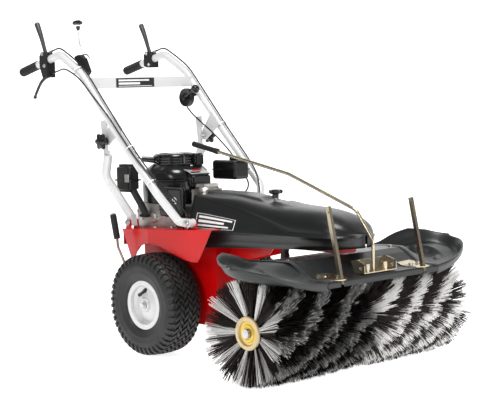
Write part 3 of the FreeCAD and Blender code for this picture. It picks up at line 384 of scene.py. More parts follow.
# ---- drive train under the deck ----
# Cast aluminium housings with a grainy skin, bright turned steel on shafts and pulleys.
cast_alloy = surface("cast_alloy", (0.50, 0.49, 0.47), 0.42, 1.0, other=(0.30, 0.29, 0.27), patch=26,
                     grain=500,
                     relief=0.5)
turned_steel = surface("turned_steel", (0.50, 0.50, 0.50), 0.28, 1.0, patch=40, relief=0.08)
belt_rubber = surface("belt_rubber", (0.02, 0.02, 0.022), 0.7, patch=30, relief=0.3)
finish_node(cast_alloy, "transaxle", "brush_gearbox", "crankcase")
finish_node(turned_steel, "axle_shaft", "axle_bearings", "crankshaft", "flywheel", "brush_shaft",
            "input_pulley", "transaxle_pulley", "idler_arm", "idler_pulley", "pivot_pins")
finish_node(belt_rubber, "belts")
case_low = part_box("transaxle")[0]
for index, (y, z) in enumerate(((-0.10, 0.16), (-0.10, 0.25), (-0.10, 0.34), (0.02, 0.16), (0.02, 0.34))):
    hex_bolt(f"transaxle_bolt_{index}", spot(case_low.x * 0.62 - 0.0005, y, z), (-1, 0, 0), 0.006, zinc_plain,
             "chassis")

# ---- engine: black covers over a cast case ----
# The fan shroud carries the recoil starter; a square cover with a ring and a stack of louvres
# shields the cylinder, and a bright slotted guard covers the silencer.
engine_black = surface("engine_black", (0.004, 0.004, 0.0045), 0.20, other=(0.007, 0.007, 0.007), patch=8,
                       grain=500, relief=0.05, gleam=0.45)
matt_black = surface("matt_black", (0.007, 0.007, 0.007), 0.45, patch=12, grain=500, relief=0.2, gleam=0.3)
bright_sheet = surface("bright_sheet", (0.66, 0.65, 0.62), 0.3, 1.0, other=(0.45, 0.43, 0.40), patch=18,
                       grain=120, relief=0.25)
finish_node(engine_black, "engine_shroud", "recoil_cover", "cylinder_cover", "fuel_tank")
finish_node(matt_black, "air_intake", "fuel_cap", "starter_grip")
finish_node(bright_sheet, "silencer_guard")

engine_middle = spot(0, 0.105, 0)
shroud_levels = [(0.552, 0.114, 0.124), (0.556, 0.117, 0.127), (0.600, 0.119, 0.129), (0.636, 0.118, 0.128),
                 (0.6400, 0.113, 0.122), (0.6440, 0.113, 0.122), (0.6480, 0.117, 0.126),
                 (0.664, 0.1165, 0.122),
                 (0.678, 0.110, 0.113), (0.688, 0.101, 0.102), (0.696, 0.090, 0.090), (0.700, 0.084, 0.084)]
shroud_rings = []
for z, half_x, half_y in shroud_levels:
    ring = []
    for step in range(96):
        angle = 2 * math.pi * step / 96
        reach = (abs(math.cos(angle)) ** 2.4 + abs(math.sin(angle)) ** 2.4) ** (-1 / 2.4)
        ring.append(engine_middle + Vector((half_x * reach * math.cos(angle),
                                            half_y * reach * math.sin(angle), z)))
    shroud_rings.append(ring)
points, faces = loft(shroud_rings, capped=False)
shroud = mesh_piece("fan_shroud", points, faces, engine_black, "chassis", 35)
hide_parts("engine_shroud")

recoil_profile = [(0.700, 0.0845)]
for z in (0.7045, 0.7145, 0.7245):
    recoil_profile += [(z, 0.0850), (z + 0.0012, 0.0775), (z + 0.0048, 0.0775), (z + 0.0060, 0.0845)]
recoil_profile += [(0.7365, 0.0820), (0.7398, 0.0760), (0.7398, 0.0660), (0.7375, 0.0640), (0.7375, 0.0330),
                   (0.7398, 0.0310), (0.7398, 0.0)]
recoil = lathe("recoil_housing", recoil_profile, engine_middle, (0, 0, 1), engine_black, "chassis",
               72)
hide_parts("recoil_cover")
for step in range(10):
    angle = 2 * math.pi * step / 10
    way = Vector((math.cos(angle), math.sin(angle), 0))
    side_way = Vector((-way.y, way.x, 0))
    post_rings = [[engine_middle + way * out + side_way * across + Vector((0, 0, z))
                   for out, across in ((0.074, -0.003), (0.0852, -0.003), (0.0852, 0.003), (0.074, 0.003))]
                  for z in (0.7035, 0.7340)]
    points, faces = loft(post_rings)
    mesh_piece(f"recoil_post_{step}", points, faces, engine_black, "chassis", 30)
    rib_rings = [[engine_middle + way * out + side_way * across + Vector((0, 0, z))
                  for across, z in ((-0.0022, 0.7372), (0.0022, 0.7372), (0.0016, 0.7396), (-0.0016, 0.7396))]
                 for out in (0.032, 0.065)]
    points, faces = loft(rib_rings)
    mesh_piece(f"recoil_rib_{step}", points, faces, engine_black, "chassis", 30)
soft_box("recoil_boss", spot(0.014, 0.006, 0.690), spot(0.062, 0.058, 0.7395), 0.007, engine_black, "chassis")
nozzle_foot, nozzle_end = spot(-0.062, 0.148, 0.716), spot(-0.1035, 0.1845, 0.7215)
points, faces = loft(sweep_rings(smooth_path([nozzle_foot, (nozzle_foot + nozzle_end) / 2, nozzle_end], 8),
                                 [(0.013 - 0.0004 * k, 0.011 - 0.0004 * k) for k in range(8)], 16,
                                 Vector((0, 0, 1))))
mesh_piece("rope_nozzle", points, faces, engine_black, "chassis")
for step in range(3):
    angle = 2 * math.pi * step / 3 + 0.5
    hex_bolt(f"recoil_screw_{step}",
             engine_middle + Vector((0.094 * math.cos(angle), 0.094 * math.sin(angle), 0.693)),
             (0, 0, 1), 0.005, zinc_plain, "chassis")

soft_box("shroud_front_block", spot(-0.050, -0.046, 0.612), spot(0.050, 0.030, 0.664), 0.009,
         engine_black, "chassis")


def slab(name, corner, along, across, thick, material, body):
    """A flat plate from one corner along two edges."""
    up = along.cross(across).normalized() * thick
    ring = [corner, corner + along, corner + along + across, corner + across]
    points, faces = loft([ring, [point + up for point in ring]])
    mesh_piece(name, points, faces, material, body, 30)


label_silver = surface("label_silver", (0.75, 0.75, 0.74), 0.3, 0.6, patch=30, relief=0.02)
label_red = surface("label_red", (0.60, 0.004, 0.010), 0.35, patch=30, relief=0.02)
label_corner = spot(-0.048, -0.040, 0.6655)
label_along, label_across = Vector((0.094, 0, 0)), Vector((0, 0.058, 0.0215))
slab("engine_label_wedge", label_corner - Vector((0, 0, 0.004)), label_along, label_across, 0.003,
     engine_black,
     "chassis")
slab("engine_label", label_corner, label_along, label_across, 0.0012, label_silver, "chassis")
lift = Vector((0, 0, 0.0013))
slab("engine_label_red", label_corner + label_along * 0.30 + label_across * 0.42 + lift, label_along * 0.45,
     label_across * 0.42, 0.0008, label_red, "chassis")
slab("engine_label_black", label_corner + label_along * 0.05 + label_across * 0.10 + lift, label_along * 0.5,
     label_across * 0.16, 0.0008, engine_black, "chassis")

for step in range(8):
    z = 0.534 + 0.0105 * step
    soft_box(f"louvre_{step}", spot(-0.1556, -0.022, z), spot(-0.1500, 0.034, z + 0.0055), 0.0018,
             engine_black, "chassis")
lathe("cover_ring", [(0.0, 0.013), (0.0016, 0.013), (0.0022, 0.0115), (0.0016, 0.0095), (0.0, 0.009)],
      spot(-0.1519, -0.057, 0.573), (-1, 0, 0), label_silver, "chassis", 40)
lathe("cover_ring_hub", [(0.0, 0.0045), (0.0020, 0.004), (0.0020, 0.0)],
      spot(-0.1519, -0.057, 0.573), (-1, 0, 0), label_silver, "chassis", 24)

guard_low, guard_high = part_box("silencer_guard")
guard = soft_box("silencer_shell", guard_low, guard_high, 0.020, bright_sheet, "chassis")
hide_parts("silencer_guard")
for row in range(5):
    z = guard_low.z + 0.020 + 0.0145 * row
    soft_box(f"guard_rib_{row}", Vector((guard_low.x - 0.0016, guard_low.y + 0.016, z)),
             Vector((guard_low.x + 0.008, guard_high.y - 0.018, z + 0.006)), 0.0016, bright_sheet, "chassis")
    # Black strips on the guard's front stand in for the open slots: painted shade.
    soft_box(f"guard_slot_shade_{row}", Vector((guard_low.x + 0.020, guard_low.y - 0.0008, z)),
             Vector((guard_high.x - 0.020, guard_low.y + 0.004, z + 0.006)), 0.0012, matt_black, "chassis")
tank_low, tank_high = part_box("fuel_tank")
soft_box("tank_seam", tank_low + Vector((-0.0015, -0.0015, 0.036)),
         Vector((tank_high.x + 0.0015, tank_high.y + 0.0015, tank_low.z + 0.040)), 0.0012, engine_black,
         "chassis")
cap_low, cap_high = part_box("fuel_cap")
cap = lathe("tank_cap", [(0, 0.019), (0.002, 0.0205), (0.011, 0.0205), (0.014, 0.018), (0.0145, 0.006),
                         (0.0125, 0.0)],
            Vector(((cap_low.x + cap_high.x) / 2, (cap_low.y + cap_high.y) / 2, cap_low.z)), (0, 0, 1),
            matt_black, "tank_cap", 72, 18, 0.03)
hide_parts("fuel_cap")
air_box = soft_box("air_cleaner", spot(-0.180, 0.168, 0.597), spot(-0.126, 0.257, 0.7035), 0.012, matt_black,
                   "chassis")
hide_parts("air_intake")
soft_box("air_cleaner_lid", spot(-0.1815, 0.164, 0.640), spot(-0.124, 0.259, 0.646), 0.002, engine_black,
         "chassis")
soft_box("air_cleaner_clip", spot(-0.1822, 0.172, 0.636), spot(-0.1785, 0.198, 0.666), 0.0015, bright_sheet,
         "chassis")
duct = smooth_path([spot(-0.150, 0.186, 0.606), spot(-0.142, 0.176, 0.580), spot(-0.130, 0.164, 0.548),
                    spot(-0.120, 0.152, 0.512)], 14)
points, faces = loft(sweep_rings(duct, [(0.0125, 0.0150)] * 14, 20))
mesh_piece("air_duct", points, faces, matt_black, "chassis")
soft_box("air_duct_flange", spot(-0.134, 0.132, 0.500), spot(-0.106, 0.176, 0.512), 0.003, matt_black,
         "chassis")
for index, (y, z, radius) in enumerate(((0.196, 0.520, 0.016), (0.120, 0.498, 0.020), (0.060, 0.528, 0.014),
                                        (0.010, 0.500, 0.013))):
    lathe(f"case_boss_{index}", [(0.0, radius), (0.008, radius * 0.96), (0.011, radius * 0.8),
                                 (0.011, radius * 0.4),
                                 (0.008, radius * 0.36), (0.008, 0.0)], spot(-0.1038, y, z), (-1, 0, 0),
                                 cast_alloy,
          "chassis", 32)
for index, (x, y) in enumerate(((-0.098, 0.0), (-0.098, 0.10), (-0.098, 0.19), (0.0, -0.0085),
                                (0.07, -0.0085))):
    hex_bolt(f"case_bolt_{index}", spot(x - 0.0062 if x < -0.05 else x, y, 0.492),
             (-1, 0, 0) if x < -0.05 else (0, -1, 0),
             0.006, zinc_plain, "chassis")

# ---- belt hood: one grained moulding from the engine to the swivel axis ----
# Below it hangs a straight skirt under a stepped edge. A flat side panel tapers away towards
# the nose under a clear ridge, and a raised spine runs back from the round knob's hollow.
hood_grain = surface("hood_grain", (0.009, 0.0095, 0.010), 0.30, other=(0.006, 0.0065, 0.007), patch=5,
                     grain=1500, relief=0.22, gleam=0.42)
hood_rear, hood_turn, nose_radius = -0.125, -0.753, 0.115
hood_rear_half = 0.152
step_height = 0.470
top_line = [(-0.10, 0.604), (-0.30, 0.602), (-0.375, 0.592), (-0.455, 0.582), (-0.56, 0.568), (-0.655, 0.563),
            (-0.708, 0.558), (-0.772, 0.544), (-0.828, 0.519), (-0.856, 0.494), (-0.868, 0.472)]
ridge_line = [(-0.10, 0.594), (-0.19, 0.587), (-0.314, 0.559), (-0.453, 0.527), (-0.542, 0.504),
              (-0.62, 0.478)]


def read_line(y, line):
    """The height on a list of (y, height) points in falling y, smoothed a little at its corners."""
    def straight(place):
        for (y_a, z_a), (y_b, z_b) in zip(line, line[1:]):
            if place >= y_b:
                return z_a + (z_b - z_a) * (place - y_a) / (y_b - y_a)
        return line[-1][1]
    return sum(straight(y + shift) for shift in (-0.024, -0.012, 0, 0.012, 0.024)) / 5


def eased(value):
    value = min(1.0, max(0.0, value))
    return value * value * (3 - 2 * value)


def hood_half(y):
    if y > hood_turn:
        return hood_rear_half + (nose_radius - hood_rear_half) * (y - hood_rear) / (hood_turn - hood_rear)
    return math.sqrt(max(nose_radius ** 2 - (y - hood_turn) ** 2, 0.0))


def hood_section(y):
    """Half a cross-section, from the skirt's bottom up to the middle of the top, as (x, z)."""
    half = hood_half(y)
    low = 0.404 + 0.030 * (hood_rear - y) / (hood_rear - hood_turn + nose_radius)
    top = max(read_line(y, top_line), step_height + 0.010)
    ridge_z = min(max(read_line(y, ridge_line), step_height + 0.007), top - 0.004)
    inset = min(0.006, half * 0.1)
    line = [(half - inset, low), (half - inset, low + 0.4 * (step_height - low)),
            (half - inset, step_height - 0.010),
            (half - 0.5 * inset, step_height - 0.005), (half, step_height - 0.0015),
            (half, step_height + 0.0010),
            (half - 0.5 * inset, step_height + 0.0035)]
    foot_x, foot_z = line[-1]
    ridge_x = max(foot_x - 0.004 - 0.030 * eased((y + 0.64) / 0.34), 0.0)
    for part in (0.25, 0.5, 0.75, 0.93, 1.0):
        line.append((foot_x + (ridge_x - foot_x) * part, foot_z + (ridge_z - foot_z) * part))
    spine = 0.0075 * eased((y + 0.60) / 0.16)
    for step in range(1, 25):
        angle = math.pi / 2 * step / 24
        x = ridge_x * max(math.cos(angle), 0.0) ** 0.72
        z = ridge_z + (top - spine - ridge_z) * math.sin(angle) ** 0.80 + spine * eased((0.052 - x) / 0.010)
        line.append((x, z))
    return line


hood_knob_low, hood_knob_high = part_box("hood_knob")
knob_middle = (hood_knob_low + hood_knob_high) / 2


def hood_place(x, y, z):
    """A point of the hood, sunk into the round hollow where it lies near the knob."""
    point = spot(x, y, z)
    away = math.hypot(point.x - knob_middle.x, point.y - knob_middle.y)
    if z > 0.53:
        point.z -= 0.009 * eased((0.058 - away) / 0.020)
    return point


hood_ys = [hood_rear + (hood_turn - hood_rear) * k / 56 for k in range(57)]
nose_angles = list(range(6, 67, 6)) + [71, 76, 80, 84, 87]
hood_ys += [hood_turn - nose_radius * math.sin(math.radians(angle)) for angle in nose_angles]
hood_rings = []
for y in hood_ys:
    section = hood_section(y)
    across = [(x, z) for x, z in section] + [(-x, z) for x, z in reversed(section[:-1])]
    hood_rings.append([hood_place(x, y, z) for x, z in across])
points, faces = loft(hood_rings, closed=False, capped=False)
hood = mesh_piece("hood_shell", points, faces, hood_grain, "chassis", 50)
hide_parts("hood")
hood_wall = hood.modifiers.new("wall", "SOLIDIFY")
hood_wall.thickness = 0.003
hood_wall.offset = -1.0

label_black = surface("label_black", (0.01, 0.01, 0.01), 0.3, patch=20, relief=0.03, coat=0.5)
label_white = surface("label_white", (0.85, 0.85, 0.85), 0.35, patch=20, relief=0.03)


def hood_patch(name, y_rear, y_front, part_low, part_high, lift, material):
    """A thin label that lies on the flat side panel of the hood."""
    rings = []
    for k in range(13):
        y = y_rear + (y_front - y_rear) * k / 12
        section = hood_section(y)
        (x_a, z_a), (x_b, z_b) = section[6], section[11]
        normal = Vector((z_b - z_a, 0, x_a - x_b)).normalized()
        ring = []
        for part in (part_low, part_high):
            x, z = x_a + (x_b - x_a) * part, z_a + (z_b - z_a) * part
            ring.append(spot(-(x + normal.x * lift), y, z + normal.z * lift))
        rings.append(ring)
    points, faces = loft(rings, closed=False, capped=False)
    return mesh_piece(name, points, faces, material, "chassis")


hood_patch("hood_label_edge", -0.158, -0.352, 0.03, 0.50, 0.0006, label_white)
hood_patch("hood_label", -0.161, -0.349, 0.045, 0.485, 0.0009, label_black)
for index, (y_rear, y_front, low,
            high) in enumerate(((-0.172, -0.338, 0.36, 0.43), (-0.172, -0.300, 0.22, 0.30),
                                                      (-0.172, -0.325, 0.10, 0.16))):
    hood_patch(f"hood_label_bar_{index}", y_rear, y_front, low, high, 0.0012, label_white)


def hood_line(y, z):
    """The place on the hood's right side at a height above the stepped edge."""
    section = hood_section(y)[6:]
    for (x_a, z_a), (x_b, z_b) in zip(section, section[1:]):
        if z_a <= z <= z_b and z_b > z_a:
            return hood_place(-(x_a + (x_b - x_a) * (z - z_a) / (z_b - z_a)), y, z)
    return hood_place(-section[0][0], y, section[0][1])


def bead(name, path, radius):
    """A fine moulded ridge along a path, and its mirror image on the other side."""
    for mirror, side in (("right", 1), ("left", -1)):
        line = [Vector((point.x * side, point.y, point.z)) for point in path]
        points, faces = loft(sweep_rings(line, [(radius, radius)] * len(line), 8))
        mesh_piece(f"{name}_{mirror}", points, faces, hood_grain, "chassis")


ridge_ys = [-0.135 - 0.475 * k / 40 for k in range(41)]
bead("hood_ridge", [hood_line(y, min(read_line(y, ridge_line),
                                     read_line(y, top_line) - 0.004)) for y in ridge_ys], 0.0022)
bead("hood_edge", [spot(-hood_half(y), y, step_height) for y in hood_ys[1:-1]], 0.0017)


def lobed_knob(name, place, axis, radius, height, lobes, body):
    """A moulded hand knob with rounded lobes and a hub."""
    profile = [(0.0, 0.0), (0.0, 0.42 * radius), (0.45 * height, 0.44 * radius),
               (0.50 * height, 0.72 * radius),
               (0.56 * height, 0.82 * radius), (0.72 * height, 0.86 * radius), (0.86 * height, 0.82 * radius),
               (0.95 * height, 0.66 * radius), (0.99 * height, 0.40 * radius), (1.0 * height, 0.0)]
    turn = Vector(axis).to_track_quat("Z", "Y")
    steps = lobes * 12
    rings = []
    for along, reach in profile:
        wave = 0.16 if along > 0.47 * height and reach > 0.6 * radius else 0.0
        rings.append([place + turn @ Vector((reach * (1 + wave * math.cos(lobes * a)) * math.cos(a),
                                             reach * (1 + wave * math.cos(lobes * a)) * math.sin(a), along))
                      for a in (2 * math.pi * k / steps for k in range(steps))])
    points, faces = loft(rings, capped=False)
    return mesh_piece(name, points, faces, engine_black, body, 40)


knob = lobed_knob("hood_star_knob", Vector((knob_middle.x, knob_middle.y, hood_knob_low.z)), (0, 0, 1),
                  0.0275,
                  hood_knob_high.z - hood_knob_low.z, 5, "hood_fastener")
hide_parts("hood_knob")

# ---- handlebar: white bent tubes, a square cross bar and the braces ----
# The cross bar carries a black plate. Star knobs clamp the tubes to the slotted tops of the braces.
finish_node(white_paint, "handle_tube_right", "handle_tube_left", "cross_bar", "braces")
bar_low, bar_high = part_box("cross_bar")
plate_low = Vector((-0.134, bar_low.y - 0.0012, bar_low.z + 0.003))
plate_high = Vector((0.058, bar_low.y + 0.0002, bar_high.z - 0.003))
soft_box("bar_plate", plate_low, plate_high, 0.0005, label_black, "handlebar")
for index, (left, right, low, high) in enumerate(((0.06, 0.94, 0.10, 0.16), (0.06, 0.62, 0.30, 0.52),
                                                  (0.06, 0.86, 0.66, 0.84))):
    size = plate_high - plate_low
    soft_box(f"bar_plate_mark_{index}",
             Vector((plate_low.x + size.x * left, plate_low.y - 0.0006, plate_low.z + size.z * low)),
             Vector((plate_low.x + size.x * right, plate_low.y + 0.0004, plate_low.z + size.z * high)),
             0.0003,
             label_white, "handlebar")
for name, side in (("right", -1), ("left", 1)):
    low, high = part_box("clamp_knob_" + name)
    middle = Vector((side * 0.252, (low.y + high.y) / 2, (low.z + high.z) / 2))
    knob = lobed_knob("brace_star_knob_" + name, middle, (side, 0, 0), 0.033, 0.036, 6, "knob_" + name)
    lathe("brace_knob_shank_" + name, [(0, 0.0), (0, 0.005), (0.02, 0.005)],
          Vector((side * 0.234, middle.y, middle.z)), (side, 0, 0), zinc_plain, "knob_" + name, 20)
    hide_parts("clamp_knob_" + name)
    hex_bolt("brace_washer_" + name, Vector((side * 0.2398, middle.y, middle.z)), (-side, 0, 0), 0.0085,
             zinc_plain,
             "knob_" + name)
    for index, (x, y, z) in enumerate(((0.156, 0.188, 0.482), (0.195, -0.190, 0.500))):
        hex_bolt(f"pivot_nut_{name}_{index}", spot(side * (x + 0.0242), y, z), (side, 0, 0), 0.009,
                 zinc_plain,
                 "chassis")

# ---- hand controls ----
# Ribbed rubber grips, two tall hand levers for drive and brush, a curved brake lever below the
# right grip, a gear lever with a quadrant, and a throttle disc with a ball-ended lever.
grip_rubber = surface("grip_rubber", (0.008, 0.008, 0.0085), 0.5, patch=20, grain=300, relief=0.3, gleam=0.3)
lever_grey = surface("lever_grey", (0.035, 0.035, 0.036), 0.34, patch=14, grain=600, relief=0.12)
finish_node(matt_black, "lever_clamps", "gear_quadrant", "throttle_disc")
grip_end, grip_bend = spot(0.267, 0.715, 1.068), spot(0.267, 0.462, 1.132)
grip_way = (grip_bend - grip_end).normalized()
grip_profile = [(-0.004, 0.0), (-0.004, 0.013), (-0.002, 0.0165), (0.002, 0.0178)]
for ring in range(15):
    along = 0.006 + ring * 0.0066
    grip_profile += [(along, 0.0178), (along + 0.0012, 0.0164), (along + 0.0040, 0.0164),
                     (along + 0.0052, 0.0178)]
grip_profile += [(0.106, 0.0180), (0.112, 0.0178), (0.112, 0.0158)]
for name, side in (("right", -1), ("left", 1)):
    end = Vector((side * grip_end.x, grip_end.y, grip_end.z))
    grip = lathe("grip_sleeve_" + name, grip_profile, end, grip_way, grip_rubber, "handlebar", 40)
    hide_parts("hand_grips")

lever_pins = {"drive": -0.267, "brush": 0.267}
for name, x in lever_pins.items():
    pin = spot(x, 0.556, 1.136)
    corners = [pin, pin + Vector((0, 0.012, 0.030)), pin + Vector((0, 0.026, 0.066)),
               pin + Vector((0, 0.044, 0.104)), pin + Vector((0, 0.054, 0.1235))]
    path = smooth_path(corners, 18)
    sizes = []
    for k in range(18):
        part = k / 17
        wide = 0.0072 + 0.0040 * eased((part - 0.1) / 0.8)
        thick = 0.0095 - 0.0016 * math.sin(math.pi * min(part * 1.4, 1)) + 0.0014 * part
        tip = 1.0 if part < 0.97 else 0.75
        sizes.append((wide * tip, thick * tip))
    points, faces = loft(sweep_rings(path, sizes, 20))
    blade = mesh_piece(name + "_lever_blade", points, faces, lever_grey, name + "_lever")
    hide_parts(name + "_hand_lever")
    lathe(name + "_lever_eye", [(-0.0054, 0.0042), (-0.0054, 0.0086), (-0.0045, 0.0092), (0.0045, 0.0092),
                                (0.0054, 0.0086), (0.0054, 0.0042)], pin, (1, 0, 0), lever_grey,
                                name + "_lever",
          30)
    hex_bolt(name + "_clamp_bolt", spot(x - 0.0202, 0.543, 1.090), (-1, 0, 0), 0.0055, zinc_plain,
             "handlebar")
    hex_bolt(name + "_pin_head", spot(x - 0.0202, 0.556, 1.136), (-1, 0, 0), 0.0050, zinc_plain, "handlebar")
    adjuster = spot(x, 0.530, 1.1432)
    lathe(name + "_cable_adjuster", [(-0.004, 0.0), (-0.004, 0.0052), (0.004, 0.0052), (0.005, 0.0042),
                                     (0.018, 0.0042), (0.019, 0.0032), (0.019, 0.0)], adjuster,
          Vector((0, -0.93, 0.27)), zinc_plain, "handlebar", 12)

brake_pin = spot(-0.267, 0.536, 1.052)
corners = [brake_pin, spot(-0.267, 0.566, 1.043), spot(-0.267, 0.594, 1.026), spot(-0.267, 0.617, 1.000),
           spot(-0.267, 0.632, 0.980), spot(-0.267, 0.639, 0.968)]
path = smooth_path(corners, 22)
sizes = [(0.0052, 0.0078 - 0.0028 * k / 21) for k in range(22)]
points, faces = loft(sweep_rings(path, sizes, 18))
brake = mesh_piece("brake_lever_blade", points, faces, engine_black, "parking_brake")
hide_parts("brake_lever")
lathe("brake_lever_eye", [(-0.0054, 0.004), (-0.0054, 0.0084), (0.0054, 0.0084), (0.0054, 0.004)], brake_pin,
      (1, 0, 0), engine_black, "parking_brake", 28)
ball = [(-0.0074 * math.cos(math.pi * k / 10), 0.0074 * math.sin(math.pi * k / 10)) for k in range(11)]
lathe("brake_lever_ball", ball, spot(-0.267, 0.639, 0.968), (0, 0.45, -0.9), engine_black, "parking_brake",
      24)

gear_steel = surface("gear_steel", (0.70, 0.70, 0.69), 0.3, 1.0, patch=50, relief=0.06)
stem = smooth_path([spot(-0.226, 0.354, 1.098), spot(-0.226, 0.366, 1.126), spot(-0.226, 0.388, 1.165),
                    spot(-0.226, 0.396, 1.205), spot(-0.226, 0.398, 1.240)], 24)
points, faces = loft(sweep_rings(stem, [(0.0036, 0.0036)] * 24, 14))
rod = mesh_piece("gear_stem", points, faces, gear_steel, "gear_stick")
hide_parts("gear_lever")
head_low = spot(-0.241, 0.374, 1.236)
head_high = spot(-0.211, 0.426, 1.262)
head_middle = (head_low + head_high) / 2
head_path = [head_middle + Vector((0, 0.026 * (k / 8 * 2 - 1),
                                   0.004 * math.cos(math.pi * (k / 8 - 0.5)))) for k in range(9)]
head_sizes = [(0.0125 * s, 0.0095 * s) for s in (0.45, 0.8, 0.98, 1.0, 0.96, 1.0, 0.98, 0.8, 0.45)]
points, faces = loft(sweep_rings(head_path, head_sizes, 20))
mesh_piece("gear_knob", points, faces, engine_black, "gear_stick")
lathe("gear_knob_neck", [(0, 0.0), (0, 0.0055), (0.012, 0.0085), (0.016, 0.009), (0.016, 0.0)],
      spot(-0.226, 0.3965, 1.222), (0, 0.05, 1), engine_black, "gear_stick", 24)
quadrant_teeth = 11
for step in range(quadrant_teeth):
    angle = math.radians(150 - 11 * step)
    place = spot(-0.2316, 0.352 + 0.031 * math.cos(angle), 1.098 + 0.031 * math.sin(angle))
    lathe(f"quadrant_notch_{step:02d}", [(0, 0.0), (0, 0.0028), (0.0022, 0.0022), (0.0022, 0.0)], place,
          (1, 0, 0), engine_black, "handlebar", 12)

throttle_pin = spot(0.226, 0.296, 0.951)
lathe("throttle_face", [(0.0, 0.0372), (0.0035, 0.0368), (0.0045, 0.0350), (0.0035, 0.0330), (0.0035, 0.0150),
                        (0.0005, 0.0140)], Vector((0.2301, throttle_pin.y, throttle_pin.z)), (-1, 0, 0),
      engine_black, "handlebar", 56)
throttle_arm = smooth_path([Vector((0.2215, throttle_pin.y, throttle_pin.z)), spot(0.2205, 0.262, 0.967),
                            spot(0.2215, 0.236, 0.980)], 10)
points, faces = loft(sweep_rings(throttle_arm, [(0.0042, 0.0042)] * 10, 14))
arm = mesh_piece("throttle_arm", points, faces, engine_black, "throttle")
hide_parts("throttle_lever")
ball = [(-0.0175 * math.cos(math.pi * k / 14), 0.0175 * math.sin(math.pi * k / 14)) for k in range(15)]
lathe("throttle_ball", ball, spot(0.2215, 0.227, 0.9845), (0, -0.8, 0.55), engine_black, "throttle",
      32)
lathe("throttle_hub", [(0.0, 0.0), (0.0, 0.011), (0.006, 0.010), (0.007, 0.0)],
      Vector((0.2245, throttle_pin.y, throttle_pin.z)), (-1, 0, 0), engine_black, "throttle",
      28)

# ---- control cables and their white ties ----
# Black sleeves run down the front of the tubes, bunched by plastic ties.
cable_sleeve = surface("cable_sleeve", (0.005, 0.005, 0.005), 0.38, patch=30, relief=0.1, gleam=0.35)
tie_white = surface("tie_white", (0.80, 0.80, 0.78), 0.4, patch=40, relief=0.05)
finish_node(cable_sleeve, "control_cables")
tie_places = [(-0.272, 0.345, 1.068), (-0.270, 0.050, 0.770), (0.266, 0.125, 0.840), (-0.264, -0.062, 0.646)]
for index, (x, y, z) in enumerate(tie_places):
    along = Vector((0, -0.67, -0.74))
    centre = spot(x, y, z)
    ring = [(-0.002, 0.0185), (-0.002, 0.0200), (0.002, 0.0200), (0.002, 0.0185), (-0.002, 0.0185)]
    lathe(f"cable_tie_{index}", ring, centre, along, tie_white, "handlebar", 30)

# ---- rear selector lever ----
# A bent steel rod with a black plastic sleeve, at the right rear corner.
rod_steel = surface("rod_steel", (0.30, 0.24, 0.20), 0.35, 1.0, patch=30, relief=0.1)
finish_node(rod_steel, "selector_lever")
sleeve_foot, sleeve_top = spot(-0.222, 0.203, 0.424), spot(-0.222, 0.2245, 0.518)
sleeve_way = (sleeve_top - sleeve_foot).normalized()
sleeve = [(-0.002, 0.006), (-0.002, 0.0118), (0.004, 0.0124), (0.030, 0.0124), (0.060, 0.0128),
          (0.088, 0.0126),
          (0.094, 0.0112), (0.097, 0.006), (0.097, 0.0)]
lathe("selector_sleeve", sleeve, sleeve_foot, sleeve_way, grip_rubber, "selector", 32)

# ---- brush cover: a black moulding with two dished wings ----
# The middle is a bent sheet with a folded front lip. Each wing dips like a bowl inside a standing
# edge, whose rim turns down in a short lip.
cover_black = surface("cover_black", (0.012, 0.013, 0.0135), 0.34, other=(0.009, 0.010, 0.0105), patch=6,
                      grain=1300, relief=0.2, gleam=0.42)
cover_half = 0.278
wing_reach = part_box("cover_wing_left")[1].x - 0.0035
cover_profile = [(-0.600, 0.378), (-0.612, 0.396), (-0.660, 0.404), (-0.715, 0.407), (-0.785, 0.407),
                 (-0.815, 0.392), (-0.850, 0.368), (-0.882, 0.356), (-0.942, 0.353), (-0.948, 0.347)]
edge_front = [(0.278, 0.353), (0.340, 0.358), (0.400, 0.368), (0.462, 0.384), (0.530, 0.406), (0.574, 0.422)]
edge_rear = [(0.278, 0.404), (0.335, 0.412), (0.410, 0.436), (0.472, 0.450), (0.530, 0.442), (0.574, 0.424)]
wing_wall = 0.040


def between(x, table):
    for (x_a, value_a), (x_b, value_b) in zip(table, table[1:]):
        if x <= x_b:
            return value_a + (value_b - value_a) * (x - x_a) / (x_b - x_a)
    return table[-1][1]


